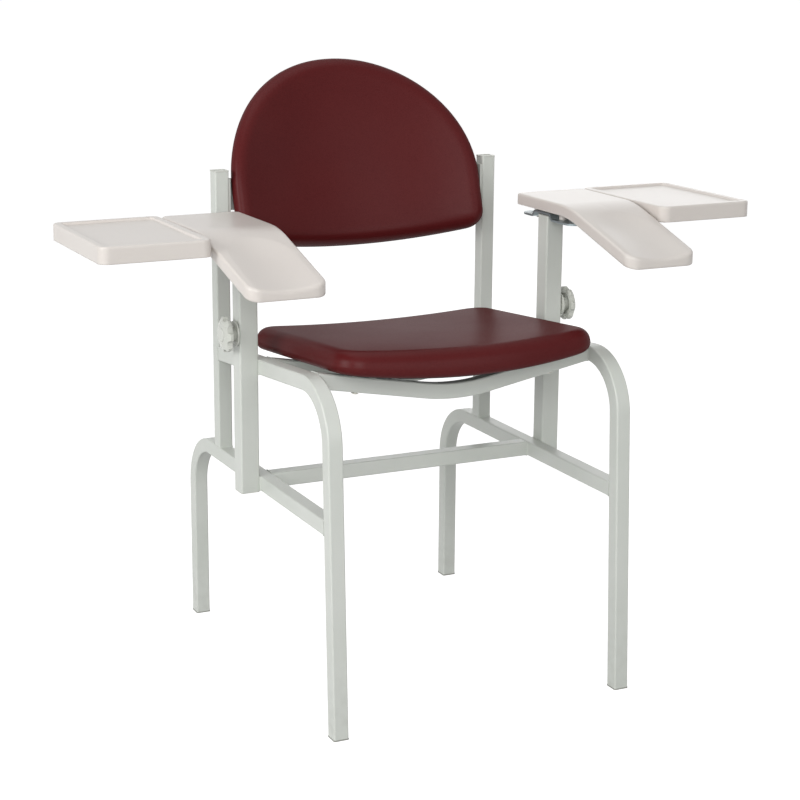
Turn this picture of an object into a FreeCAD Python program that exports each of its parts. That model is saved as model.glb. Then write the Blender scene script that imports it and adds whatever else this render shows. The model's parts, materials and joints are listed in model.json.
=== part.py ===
import FreeCAD, Part
import math
import os

os.makedirs("parts", exist_ok=True)

Vector = FreeCAD.Vector
Placement = FreeCAD.Placement
Rotation = FreeCAD.Rotation

# A phlebotomy chair: a square-tube frame, a dished seat, a bowed D-shaped back, and on each side
# an armrest with a tray that slides up on a clamped post and swivels about it.
# Millimetres, +Z up. The chair faces -Y. Left and right are the sitter's, so left is +X.
# The origin is on the floor, midway between the feet.

# Frame
frame_width = 471.0
frame_depth = 573.4
tube = 22.2
tube_wall = 1.5
tube_corner = 2.4
bend_radius = 76.2
leg_lean_angle = 2.6
rail_angle = 4.73
rail_top_front = 504.6
lower_rail_top = 308.6
post_setback = 434.9
post_top = 734.0
cross_tube_setback = 273.3

# Seat bars, bowed down in the middle
bar_angle = 10.2
bar_bend_radius = 290.0
front_bar_setback = 104.4

# Feet, caps and plugs
flange_height = 1.8
flange_overhang = 0.4
cap_rim = 3.0
cap_recess = 0.8
plug_length = 14.0
plug_clearance = 0.1

# Seat, laid along the rails
seat_side_gap = 11.8
seat_front = 28.0
seat_rear = 399.0
seat_front_bow_radius = 855.0
seat_front_corner = 45.0
seat_rear_corner = 43.0
seat_drop = 13.5
seat_board_radius = 1300.0
seat_pad_middle = 29.0
seat_pad_rim = 21.5
seat_pad_round = 14.5
seat_pad_under_round = 5.0
seat_bolt_inset = 51.5
spacer_diameter = 22.0

# Back, tilted and bowed
back_side_gap = 7.3
back_tilt_angle = 17.0
back_setback = 467.5
back_level = 650.0
back_board_radius = 447.0
back_board_offset = 19.0
back_top_centre = 42.0
back_bottom = 47.7
back_bottom_bow_radius = 1800.0
back_corner = 25.0
back_pad_middle = 24.7
back_pad_rim = 25.5
back_pad_round = 13.0
back_pad_under_round = 6.0
back_bolt_gap = 25.3
back_bolt_pitch = 26.0
bracket_height = 48.0
bracket_steel = 3.0
bracket_reach = 44.0
bracket_setback = 2.0

# Boards and cushions
board_thickness = 9.0
board_inset = 5.0
pad_clearance = 0.3

# Board fasteners
bolt_diameter = 6.0
bolt_hole = 6.6
bolt_head_diameter = 11.0
bolt_head_height = 3.3
tee_flange_diameter = 18.0
tee_flange_height = 1.4
tee_barrel_diameter = 7.8
tee_barrel_length = 6.2
tee_sink = 0.2
tee_sink_sloped = 0.8
thread_clearance = 0.05

# Arm sleeve and post
sleeve = 28.6
sleeve_wall = 1.5
sleeve_corner = 2.6
sleeve_setback = 281.4
sleeve_top = 660.1
bush_length = 30.0
bush_flange = 1.2
bush_clearance = 0.1
slide_clearance = 0.2
post_rise = 0.4
arm_post_foot = 312.0
guide_height = 10.0
arm_lift = 150.0

# Clamp
clamp_height = 521.0
stud_diameter = 8.0
stud_hole = 9.0
nut_across_flats = 13.0
nut_height = 5.5
pad_height = 1.3
pad_gap = 0.3
knob_gap = 1.2
knob_length = 21.7
knob_lip_diameter = 37.0
knob_lip_height = 2.6
knob_neck_diameter = 22.0
knob_grip_start = 10.8
knob_diameter = 52.0
knob_edge_round = 1.5
knob_dome = 5.2
knob_flutes = 7
knob_flute_radius = 7.0
knob_flute_depth = 5.0
knob_hollow_diameter = 33.0
knob_hollow_depth = 5.0
knob_nut_gap = 0.7
cap_diameter = 21.0
cap_height = 2.4
cap_rise = 0.8
stud_reach = 17.0

# Armrest, set from the post's axis: out is away from the sitter, forth is towards the front
arm_thick = 17.0
arm_inner = 20.5
arm_outer_rear = 100.0
arm_outer_front = 92.5
arm_rear = 76.0
arm_front = 256.0
arm_knee = 84.0
arm_slope_angle = 16.4
arm_knee_radius = 200.0
arm_rear_corner = 12.0
arm_front_corner = 18.0
arm_edge_round = 3.5
arm_wall = 3.0
scoop_radius = 200.0
scoop_depth = 4.8
scoop_start = 104.0
scoop_centre = 35.0
rib_thick = 2.2
rib_pitch = 21.0
cross_rib_start = 102.0
cross_rib_pitch = 51.0

# Tray
tray_gap = 1.0
tray_width = 157.0
tray_rear = 82.5
tray_front = 150.0
tray_thick = 23.5
tray_corner = 14.0
tray_edge_round = 2.6
tray_rim = 11.0
tray_recess = 3.0
tray_recess_corner = 7.0
tray_recess_flare = 1.6
tray_wall = 3.0
tray_rib_shares = (0.25, 0.5, 0.75)

# Arm bracket, pivot and strap
plate_width = 32.0
plate_rear = 66.0
plate_front = 84.0
plate_thick = 3.0
plate_gap = 2.8
plate_arch = 23.0
plate_step_run = 5.0
plate_step = 8.0
plate_bend_radius = 3.0
plate_hole = 9.0
plate_screw_offset = 37.0
pivot_diameter = 8.0
pivot_clearance = 0.1
pivot_head_diameter = 14.0
pivot_head_height = 4.4
pivot_length = 22.0
washer_diameter = 21.0
washer_height = 0.9
post_nut_height = 16.0
strap_width = 25.0
strap_thick = 3.0
strap_forth = 30.0
strap_inner = 36.0
strap_outer = 186.0
strap_sink = 11.5
strap_clearance = 1.0
strap_screw_edge = 14.0
strap_screw_pitch = 30.0
boss_diameter = 12.0
screw_diameter = 4.2
plate_screw_length = 15.0
strap_screw_length = 10.0
screw_head_diameter = 8.6
screw_head_height = 2.8
screw_clearance = 0.3

# Cutting tools run past what they cut by this much
overrun = 60.0

# Places that follow from the sizes above
front_y = -frame_depth / 2
rear_y = frame_depth / 2
leg_x = frame_width / 2 - tube / 2
rail_inner_x = frame_width / 2 - tube
lean = math.radians(leg_lean_angle)
back_post_y = front_y + post_setback + tube / 2
seat_width = 2 * (rail_inner_x - seat_side_gap)
seat_bolt_x = seat_width / 2 - seat_bolt_inset
back_width = 2 * (rail_inner_x - back_side_gap)
back_bolt_x = rail_inner_x - back_bolt_gap
sleeve_x = frame_width / 2 + sleeve / 2
sleeve_y = front_y + sleeve_setback
lower_rail_z = lower_rail_top - tube / 2
arm_post_top = sleeve_top + bush_flange + post_rise
plate_top = arm_post_top + washer_height + pivot_clearance + plate_thick
plate_end_top = plate_top - plate_step
arm_top = plate_top + plate_gap + arm_thick
strap_top = arm_top - strap_sink
nut_reach = nut_across_flats / math.sqrt(3)
seat_frame = Placement(Vector(0, front_y, rail_top_front), Rotation(Vector(1, 0, 0), -rail_angle))
back_frame = Placement(Vector(0, front_y + back_setback, back_level), Rotation(Vector(1, 0, 0), -back_tilt_angle))
upright = Vector(0, 0, 1)
sideways = Vector(1, 0, 0)
written = []


# Shared shapes

def block(x0, x1, y0, y1, z0, z1):
    corner = Vector(min(x0, x1), min(y0, y1), min(z0, z1))
    return Part.makeBox(abs(x1 - x0), abs(y1 - y0), abs(z1 - z0), corner)


def rod(base, along, radius, length):
    return Part.makeCylinder(radius, length, base, along)


def ring(base, along, outer, inner, length):
    hole_base = base - along * overrun
    return rod(base, along, outer, length).cut(rod(hole_base, along, inner, length + 2 * overrun))


def half_space(point, normal, size):
    # the block of space beyond point, on the side that normal points to
    turn = Rotation(upright, normal)
    slab = Part.makeBox(size, size, size, Vector(-size / 2, -size / 2, 0))
    slab.Placement = Placement(point, turn)
    return slab


def rounded_outline(width, depth, corner):
    # closed outline about the origin in the XY plane; a corner of 0 is square
    w = width / 2
    d = depth / 2
    if corner <= 0:
        corners = [Vector(-w, -d, 0), Vector(w, -d, 0), Vector(w, d, 0), Vector(-w, d, 0)]
        return Part.makePolygon(corners + corners[:1])
    face = Part.Face(Part.makePolygon([Vector(-w, -d, 0), Vector(w, -d, 0), Vector(w, d, 0), Vector(-w, d, 0),
                                       Vector(-w, -d, 0)]))
    prism = face.extrude(upright * (width + depth))
    rising = [e for e in prism.Edges if abs(e.tangentAt(e.FirstParameter).z) > abs(e.tangentAt(e.FirstParameter).x)
              and abs(e.tangentAt(e.FirstParameter).z) > abs(e.tangentAt(e.FirstParameter).y)]
    rounded = prism.makeFillet(corner, rising)
    foot = min(rounded.Faces, key=lambda f: f.CenterOfMass.z)
    return foot.OuterWire


def section_at(wire, point, along, across):
    # sets an outline of the XY plane square to a run that starts at point
    placed = wire.copy()
    turn = Rotation(across, along.cross(across), along, "ZXY")
    placed.Placement = Placement(point, turn).multiply(placed.Placement)
    return placed


def bent_path(points, radius):
    # straight runs joined by tangent arcs
    edges = []
    start = points[0]
    for before, corner, after in zip(points, points[1:], points[2:]):
        run_in = (corner - before).normalize()
        run_out = (after - corner).normalize()
        turn = run_in.getAngle(run_out)
        setback = radius * math.tan(turn / 2)
        arc_start = corner - run_in * setback
        arc_end = corner + run_out * setback
        inward = (run_out - run_in).normalize()
        middle = corner + inward * (radius / math.cos(turn / 2) - radius)
        edges.append(Part.LineSegment(start, arc_start).toShape())
        edges.append(Part.Arc(arc_start, middle, arc_end).toShape())
        start = arc_end
    edges.append(Part.LineSegment(start, points[-1]).toShape())
    return Part.Wire(edges)


def square_tube(points, radius, across, size, wall, corner):
    path = bent_path(points, radius)
    along = (points[1] - points[0]).normalize()
    outer = section_at(rounded_outline(size, size, corner), points[0], along, across)
    inner = section_at(rounded_outline(size - 2 * wall, size - 2 * wall, 0), points[0], along, across)
    return path.makePipeShell([outer], True, False).cut(path.makePipeShell([inner], True, False))


def square_plug(size, corner, x, y, z0, z1):
    face = Part.Face(rounded_outline(size, size, corner))
    face.translate(Vector(x, y, z0))
    return face.extrude(upright * (z1 - z0))


def meet(p, along_p, q, along_q):
    # where two lines of one YZ plane cross
    step = q - p
    spread = along_p.y * along_q.z - along_p.z * along_q.y
    reach = (step.y * along_q.z - step.z * along_q.y) / spread
    return p + along_p * reach


def mirrored(shape):
    return shape.mirror(Vector(0, 0, 0), sideways)


def save(name, shape):
    solids = shape.Solids
    whole = solids[0] if len(solids) == 1 else Part.makeCompound(solids)
    if not solids or not whole.isValid():
        raise ValueError(name + " is not a valid solid")
    whole.exportStep("parts/" + name + ".step")
    written.append((name, whole))


def save_pair(name, shape):
    save("left_" + name, shape)
    save("right_" + name, mirrored(shape))


# Frame

def leg_axis_at(z):
    foot_centre = front_y + tube / 2 / math.cos(lean)
    return Vector(leg_x, foot_centre + z * math.tan(lean), z)


def front_leg():
    leg_up = Vector(0, math.sin(lean), math.cos(lean))
    rail_back = seat_frame.Rotation.multVec(Vector(0, 1, 0))
    rail_point = seat_frame.multVec(Vector(leg_x, 0, -tube / 2))
    corner = meet(leg_axis_at(0), leg_up, rail_point, rail_back)
    foot = leg_axis_at(0) - leg_up * overrun
    end = corner + rail_back * frame_depth
    leg = square_tube([foot, corner, end], bend_radius, sideways, tube, tube_wall, tube_corner)
    leg = leg.cut(half_space(Vector(leg_x, front_y, flange_height), -upright, frame_depth))
    return leg.cut(half_space(Vector(leg_x, back_post_y - tube / 2, rail_point.z), Vector(0, 1, 0), frame_depth))


def rear_leg():
    centre = rear_y - tube / 2
    foot = Vector(leg_x, centre, flange_height)
    corner = Vector(leg_x, centre, lower_rail_z)
    end = Vector(leg_x, front_y, lower_rail_z)
    leg = square_tube([foot, corner, end], bend_radius, sideways, tube, tube_wall, tube_corner)
    face_normal = Vector(0, -math.cos(lean), math.sin(lean))
    face_point = leg_axis_at(lower_rail_z) - face_normal * (tube / 2)
    return leg.cut(half_space(face_point, face_normal, frame_depth))


def back_post():
    foot = Vector(leg_x, back_post_y, lower_rail_top)
    top = Vector(leg_x, back_post_y, post_top - flange_height)
    return square_tube([foot, top], bend_radius, sideways, tube, tube_wall, tube_corner)


def cross_tube():
    y = front_y + cross_tube_setback + tube / 2
    ends = [Vector(-rail_inner_x, y, lower_rail_z), Vector(rail_inner_x, y, lower_rail_z)]
    return square_tube(ends, bend_radius, upright, tube, tube_wall, tube_corner)


bar_slope = math.radians(bar_angle)
bar_rise = Vector(math.cos(bar_slope), 0, math.sin(bar_slope))
bar_up = Vector(-math.sin(bar_slope), 0, math.cos(bar_slope))
front_bar_place = front_bar_setback + tube / 2
rear_bar_place = seat_frame.inverse().multVec(Vector(0, sleeve_y, rail_top_front)).y


def bar_top_at(x, place):
    # a point on the sloping top face of the +X half of a bar, in the seat's own frame
    return Vector(x, place, -(rail_inner_x - x) * math.tan(bar_slope))


def seat_bar(place):
    end = bar_top_at(rail_inner_x, place) - bar_up * (tube / 2) + bar_rise * tube
    middle_drop = end.z - end.x * math.tan(bar_slope)
    points = [Vector(-end.x, place, end.z), Vector(0, place, middle_drop), end]
    bar = square_tube(points, bar_bend_radius, Vector(0, 1, 0), tube, tube_wall, tube_corner)
    for side in (1, -1):
        bar = bar.cut(half_space(Vector(side * rail_inner_x, place, 0), Vector(side, 0, 0), frame_depth))
        axis = Vector(side * bar_up.x, 0, bar_up.z)
        top = bar_top_at(seat_bolt_x, place)
        start = Vector(side * top.x, place, top.z) - axis * overrun
        bar = bar.cut(rod(start, axis, bolt_hole / 2, 2 * overrun))
    bar.Placement = seat_frame
    return bar


def glide(centre, up):
    # a plug in the leg's end with a flange that stands on the floor
    across = tube + 2 * flange_overhang
    flange = square_plug(across, tube_corner, centre.x, centre.y, 0, flange_height)
    inner = tube - 2 * tube_wall - 2 * plug_clearance
    section = section_at(rounded_outline(inner, inner, 0), centre - up * plug_length, up, sideways)
    stem = Part.Face(section).extrude(up * (2 * plug_length))
    stem = stem.cut(half_space(Vector(centre.x, centre.y, flange_height / 2), -upright, overrun))
    return flange.fuse(stem).removeSplitter()


def tube_cap(size, wall, corner, x, y, z, up):
    # a plug with a thin flange, for an end that faces up or down
    across = size + 2 * flange_overhang
    inner = size - 2 * wall - 2 * plug_clearance
    if up:
        flange = square_plug(across, corner, x, y, z - flange_height, z)
        flange = flange.cut(square_plug(size - 2 * cap_rim, 0, x, y, z - cap_recess, z))
        stem = square_plug(inner, 0, x, y, z - flange_height - plug_length, z - flange_height)
    else:
        flange = square_plug(size, corner, x, y, z, z + flange_height)
        stem = square_plug(inner, 0, x, y, z + flange_height, z + flange_height + plug_length)
    return flange.fuse(stem).removeSplitter()


def make_frame():
    save_pair("front_leg", front_leg())
    save_pair("rear_leg", rear_leg())
    save_pair("back_post", back_post())
    save("cross_tube", cross_tube())
    save("front_seat_bar", seat_bar(front_bar_place))
    save("rear_seat_bar", seat_bar(rear_bar_place))
    leg_up = Vector(0, math.sin(lean), math.cos(lean))
    save_pair("front_glide", glide(leg_axis_at(0), leg_up))
    save_pair("rear_glide", glide(Vector(leg_x, rear_y - tube / 2, 0), upright))
    cap = tube_cap(tube, tube_wall, tube_corner, leg_x, back_post_y, post_top, True)
    save("post_caps", Part.makeCompound([cap, mirrored(cap)]))


# Seat and back panels: an outline with one bowed edge, cut out of a curved slab

def bowed_corner(half_width, bow_radius, corner, level):
    # centre of the arc between a side and the bowed edge, and where it leaves the bow;
    # the bow's lowest point is at (0, level), and its centre is above it
    bow_centre = level + bow_radius
    x = half_width - corner
    y = bow_centre - math.sqrt((bow_radius - corner) ** 2 - x ** 2)
    away = Vector(x, y - bow_centre, 0).normalize()
    leave = Vector(0, bow_centre, 0) + away * bow_radius
    middle = Vector(x, y, 0) + (away + Vector(1, 0, 0)).normalize() * corner
    return Vector(x, y, 0), leave, middle


def panel_face(half_width, bow_radius, low_corner, level, far_edges):
    # far_edges closes the outline from (half_width, y) round to (-half_width, y)
    centre, leave, middle = bowed_corner(half_width, bow_radius, low_corner, level)
    side_start = Vector(half_width, centre.y, 0)
    edges = [Part.Arc(Vector(-leave.x, leave.y, 0), Vector(0, level, 0), leave).toShape(),
             Part.Arc(leave, middle, side_start).toShape()]
    edges += far_edges(side_start)
    edges.append(Part.Arc(Vector(-half_width, centre.y, 0), Vector(-middle.x, middle.y, 0),
                          Vector(-leave.x, leave.y, 0)).toShape())
    return Part.Face(Part.Wire(edges))


def seat_outline(inset):
    half = seat_width / 2 - inset
    rear = seat_rear - inset
    corner = seat_rear_corner - inset
    slant = math.sqrt(0.5) * corner

    def far_edges(side_start):
        first = Vector(half, rear - corner, 0)
        second = Vector(half - corner, rear, 0)
        bulge = Vector(half - corner + slant, rear - corner + slant, 0)
        third = Vector(-second.x, second.y, 0)
        fourth = Vector(-first.x, first.y, 0)
        return [Part.LineSegment(side_start, first).toShape(),
                Part.Arc(first, bulge, second).toShape(),
                Part.LineSegment(second, third).toShape(),
                Part.Arc(third, Vector(-bulge.x, bulge.y, 0), fourth).toShape(),
                Part.LineSegment(fourth, Vector(-side_start.x, side_start.y, 0)).toShape()]

    return panel_face(half, seat_front_bow_radius - inset, seat_front_corner - inset, seat_front + inset, far_edges)


def back_outline(inset):
    half = back_width / 2 - inset

    def far_edges(side_start):
        first = Vector(half, back_top_centre, 0)
        return [Part.LineSegment(side_start, first).toShape(),
                Part.Arc(first, Vector(half * math.sqrt(0.5), back_top_centre + half * math.sqrt(0.5), 0),
                         Vector(0, back_top_centre + half, 0)).toShape(),
                Part.Arc(Vector(0, back_top_centre + half, 0),
                         Vector(-half * math.sqrt(0.5), back_top_centre + half * math.sqrt(0.5), 0),
                         Vector(-half, back_top_centre, 0)).toShape(),
                Part.LineSegment(Vector(-half, back_top_centre, 0),
                                 Vector(-half, side_start.y, 0)).toShape()]

    return panel_face(half, back_bottom_bow_radius - inset, back_corner - inset, inset - back_bottom, far_edges)


def shell_between(outer_centre, outer_radius, inner_centre, inner_radius, along, length):
    # the curved slab between two drums whose axes run along the panel
    start = along * (-length / 2)
    outer = Part.makeCylinder(outer_radius, length, outer_centre + start, along)
    inner = Part.makeCylinder(inner_radius, length, inner_centre + start, along)
    return outer.cut(inner)


def drum_through(half_width, rim_rise):
    # the radius of a drum that rises by rim_rise from its middle to the rim
    return (half_width ** 2 + rim_rise ** 2) / (2 * rim_rise)


def board_and_pad(outline, board_radius, board_level, half_width, pad_middle, pad_rim, rounds, span):
    # built with the panel's outline in the XY plane and its hollow side towards +Z
    board_centre = Vector(0, 0, board_level + board_radius)
    along = Vector(0, 1, 0)
    prism_low = board_level - overrun
    prism_rise = upright * (2 * overrun + half_width)

    def prism(inset):
        face = outline(inset)
        face.translate(Vector(0, 0, prism_low))
        return face.extrude(prism_rise)

    board_slab = shell_between(board_centre, board_radius, board_centre, board_radius - board_thickness, along, span)
    board = board_slab.common(prism(board_inset))
    pad_radius = board_radius - board_thickness - pad_clearance
    pad_level = board_level + board_thickness + pad_clearance
    board_rim = pad_radius - math.sqrt(pad_radius ** 2 - half_width ** 2)
    top_radius = drum_through(half_width, board_rim + pad_rim - pad_middle)
    top_centre = Vector(0, 0, pad_level + pad_middle + top_radius)
    pad_slab = shell_between(board_centre, pad_radius, top_centre, top_radius, along, span)
    pad = pad_slab.common(prism(0))
    board = [s for s in board.Solids if s.CenterOfMass.z < board_centre.z][0]
    pad = [s for s in pad.Solids if s.CenterOfMass.z < board_centre.z][0]
    return board, round_pad(pad, top_radius, pad_radius, rounds)


def rim_of_drum(shape, radius):
    # the edges of the faces that lie on a drum of this radius about a line along Y
    found = []
    for face in shape.Faces:
        surface = face.Surface
        if not isinstance(surface, Part.Cylinder) or abs(surface.Axis.y) < abs(surface.Axis.z):
            continue
        if math.isclose(surface.Radius, radius):
            found += face.Edges
    return found


def round_pad(pad, top_radius, bottom_radius, rounds):
    pad = pad.makeFillet(rounds[0], rim_of_drum(pad, top_radius))
    return pad.makeFillet(rounds[1], rim_of_drum(pad, bottom_radius))


def tee_nut(seat, out):
    # seat is the middle of the flange's outer face, out points away from the board
    flange = rod(seat, -out, tee_flange_diameter / 2, tee_flange_height)
    barrel = rod(seat - out * tee_flange_height, -out, tee_barrel_diameter / 2, tee_barrel_length)
    bore = rod(seat + out * overrun, -out, bolt_diameter / 2 + thread_clearance, 2 * overrun)
    return flange.fuse(barrel).cut(bore).removeSplitter()


def tee_pocket(seat, out):
    # what the board loses to a tee nut
    flange = rod(seat + out * tee_flange_height, -out, tee_flange_diameter / 2 + thread_clearance,
                 2 * tee_flange_height)
    barrel = rod(seat, -out, tee_barrel_diameter / 2 + thread_clearance, board_thickness + overrun)
    return flange.fuse(barrel)


def button_bolt(under_head, along, length):
    # along points from the head into the work
    shank = rod(under_head, along, bolt_diameter / 2, length)
    head = Part.makeCone(bolt_head_diameter / 2, bolt_diameter / 2, bolt_head_height, under_head, -along)
    return head.fuse(shank).removeSplitter()


def reach_to_drum(point, along, centre_x, centre_z, radius):
    # how far along a line of the XZ plane, going outwards, a drum's surface lies
    dx = point.x - centre_x
    dz = point.z - centre_z
    half = dx * along.x + dz * along.z
    rest = dx ** 2 + dz ** 2 - radius ** 2
    return -half + math.sqrt(half ** 2 - rest)


def both_sides(shapes):
    return shapes + [mirrored(s) for s in shapes]


def make_seat():
    centre = Vector(0, 0, seat_board_radius - seat_drop)
    span = 2 * frame_depth
    board, pad = board_and_pad(seat_outline, seat_board_radius, -seat_drop, seat_width / 2, seat_pad_middle,
                               seat_pad_rim, (seat_pad_round, seat_pad_under_round), span)
    bolts = []
    nuts = []
    spacers = []
    for place in (front_bar_place, rear_bar_place):
        foot = bar_top_at(seat_bolt_x, place)
        inner_radius = seat_board_radius - board_thickness
        to_board_top = -reach_to_drum(foot, -bar_up, centre.x, centre.z, inner_radius)
        nut_seat = foot + bar_up * (to_board_top - tee_sink_sloped)
        bolt_length = tube + to_board_top - tee_sink_sloped - tee_flange_height / 2
        spacer = rod(foot, bar_up, spacer_diameter / 2, to_board_top)
        spacer = spacer.cut(board)
        spacer = min(spacer.Solids, key=lambda s: s.CenterOfMass.z)
        spacers.append(spacer.cut(rod(foot - bar_up * overrun, bar_up, bolt_hole / 2, 2 * overrun)))
        nuts.append(tee_nut(nut_seat, bar_up))
        bolts.append(button_bolt(foot - bar_up * tube, bar_up, bolt_length))
        pocket = tee_pocket(nut_seat, bar_up)
        board = board.cut(pocket).cut(mirrored(pocket))
    placed = []
    for group in (both_sides(bolts), both_sides(nuts), both_sides(spacers), [board], [pad]):
        for shape in group:
            shape.Placement = seat_frame.multiply(shape.Placement)
        placed.append(group)
    save("seat_bolts", Part.makeCompound(placed[0]))
    save("seat_spacers", Part.makeCompound(placed[2]))
    save("seat_board", board)
    save("seat_cushion", pad)
    return placed[1]


def make_back():
    # the panel is built lying down, hollow side up, and then stood against the posts
    lie_down = Placement(Vector(0, 0, 0), Rotation(Vector(1, 0, 0), 90))
    stand = back_frame.multiply(lie_down)
    board, pad = board_and_pad(back_outline, back_board_radius, -back_board_offset, back_width / 2,
                               back_pad_middle, back_pad_rim, (back_pad_round, back_pad_under_round),
                               2 * frame_depth)
    axis_level = back_board_radius - back_board_offset
    swing = math.asin(back_bolt_x / back_board_radius)
    out = Vector(math.sin(swing), 0, -math.cos(swing))
    post_middle = stand.inverse().multVec(Vector(leg_x, back_post_y, back_level + bracket_height))
    middle = post_middle.y
    nuts = []
    bolts = []
    holes = []
    for step in (-1, 1):
        on_axis = Vector(0, middle + step * back_bolt_pitch / 2, axis_level)
        nut_seat = on_axis + out * (back_board_radius - board_thickness + tee_sink)
        nuts.append(tee_nut(nut_seat, -out))
        head_at = on_axis + out * (back_board_radius + pad_clearance + bracket_steel)
        length = bracket_steel + pad_clearance + board_thickness - tee_sink - tee_flange_height / 2
        bolts.append(button_bolt(head_at, -out, length))
        holes.append(rod(head_at - out * overrun, out, bolt_hole / 2, 2 * overrun))
        pocket = tee_pocket(nut_seat, -out)
        board = board.cut(pocket).cut(mirrored(pocket))
    bracket = back_bracket(stand, middle, axis_level, holes)
    nuts = both_sides(nuts)
    bolts = both_sides(bolts)
    for shape in nuts + bolts + [board, pad]:
        shape.Placement = stand.multiply(shape.Placement)
    save("back_bolts", Part.makeCompound(bolts))
    save("back_board", board)
    save("back_cushion", pad)
    save_pair("back_bracket", bracket)
    return nuts


def back_bracket(stand, middle, axis_level, holes):
    # a plate formed to the board's back, and a leg welded along the post's inner face
    near = back_board_radius + pad_clearance
    centre = Vector(0, 0, axis_level)
    plate = shell_between(centre, near + bracket_steel, centre, near, Vector(0, 1, 0), 2 * frame_depth)
    inner_x = rail_inner_x - bracket_reach
    window = block(inner_x, rail_inner_x - bracket_steel / 2, middle - bracket_height / 2,
                   middle + bracket_height / 2, -overrun, axis_level)
    plate = plate.common(window)
    for hole in holes:
        plate = plate.cut(hole)
    plate.Placement = stand.multiply(plate.Placement)
    low = plate.BoundBox
    leg = block(rail_inner_x - bracket_steel, rail_inner_x, back_post_y - tube / 2 + bracket_setback,
                max(low.YMax, back_post_y + tube / 2), low.ZMin, low.ZMax)
    slab = shell_between(centre, near + bracket_steel, centre, near - tube, Vector(0, 1, 0), 2 * frame_depth)
    slab.Placement = stand.multiply(slab.Placement)
    leg = leg.common(slab)
    return plate.fuse(leg).removeSplitter()


# Arm sleeve, sliding post and clamp

def make_sleeve():
    bottom = lower_rail_top - tube
    ends = [Vector(sleeve_x, sleeve_y, bottom), Vector(sleeve_x, sleeve_y, sleeve_top)]
    shape = square_tube(ends, bend_radius, sideways, sleeve, sleeve_wall, sleeve_corner)
    outer_face = sleeve_x + sleeve / 2
    stud_line = Vector(sleeve_x, sleeve_y, clamp_height)
    shape = shape.cut(rod(stud_line, sideways, stud_hole / 2, overrun))
    save_pair("arm_sleeve", shape)
    nut_base = Vector(outer_face, sleeve_y, clamp_height)
    corners = []
    for side in range(6):
        turn = 2 * math.pi * side / 6
        corners.append(nut_base + Vector(0, math.cos(turn), math.sin(turn)) * nut_reach)
    nut = Part.Face(Part.makePolygon(corners + corners[:1])).extrude(sideways * nut_height)
    nut = nut.cut(rod(nut_base, sideways, stud_diameter / 2 + thread_clearance, nut_height))
    save_pair("clamp_nut", nut)
    bore = sleeve - 2 * sleeve_wall
    hole = tube + 2 * slide_clearance
    stem = square_plug(bore - 2 * bush_clearance, 0, sleeve_x, sleeve_y, sleeve_top - bush_length, sleeve_top)
    flange = square_plug(sleeve, sleeve_corner, sleeve_x, sleeve_y, sleeve_top, sleeve_top + bush_flange)
    cut = square_plug(hole, tube_corner, sleeve_x, sleeve_y, sleeve_top - overrun, sleeve_top + overrun)
    save_pair("sleeve_bush", stem.fuse(flange).removeSplitter().cut(cut))
    foot = tube_cap(sleeve, sleeve_wall, sleeve_corner, sleeve_x, sleeve_y, bottom - flange_height, False)
    save("sleeve_plugs", Part.makeCompound([foot, mirrored(foot)]))


def make_arm_post():
    ends = [Vector(sleeve_x, sleeve_y, arm_post_foot), Vector(sleeve_x, sleeve_y, arm_post_top)]
    save_pair("arm_post", square_tube(ends, bend_radius, sideways, tube, tube_wall, tube_corner))
    inner = tube - 2 * tube_wall - 2 * plug_clearance
    bore = sleeve - 2 * sleeve_wall
    guide = square_plug(bore - 2 * slide_clearance, tube_corner, sleeve_x, sleeve_y, arm_post_foot - guide_height,
                        arm_post_foot)
    stem = square_plug(inner, 0, sleeve_x, sleeve_y, arm_post_foot, arm_post_foot + plug_length)
    save_pair("post_guide", guide.fuse(stem).removeSplitter())
    nut = square_plug(inner, 0, sleeve_x, sleeve_y, arm_post_top - post_nut_height, arm_post_top)
    nut_bore = rod(Vector(sleeve_x, sleeve_y, arm_post_top - overrun), upright,
                   pivot_diameter / 2 + thread_clearance, 2 * overrun)
    save_pair("post_nut", nut.cut(nut_bore))


def make_pivot():
    head_seat = Vector(sleeve_x, sleeve_y, plate_top + pivot_clearance)
    shank = rod(head_seat, -upright, pivot_diameter / 2, pivot_length)
    head = Part.makeCone(pivot_head_diameter / 2, pivot_diameter / 2, pivot_head_height, head_seat, upright)
    save_pair("pivot_bolt", shank.fuse(head).removeSplitter())
    washer_foot = Vector(sleeve_x, sleeve_y, arm_post_top)
    save_pair("pivot_washer", ring(washer_foot, upright, washer_diameter / 2,
                                   pivot_diameter / 2 + thread_clearance, washer_height))


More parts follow.
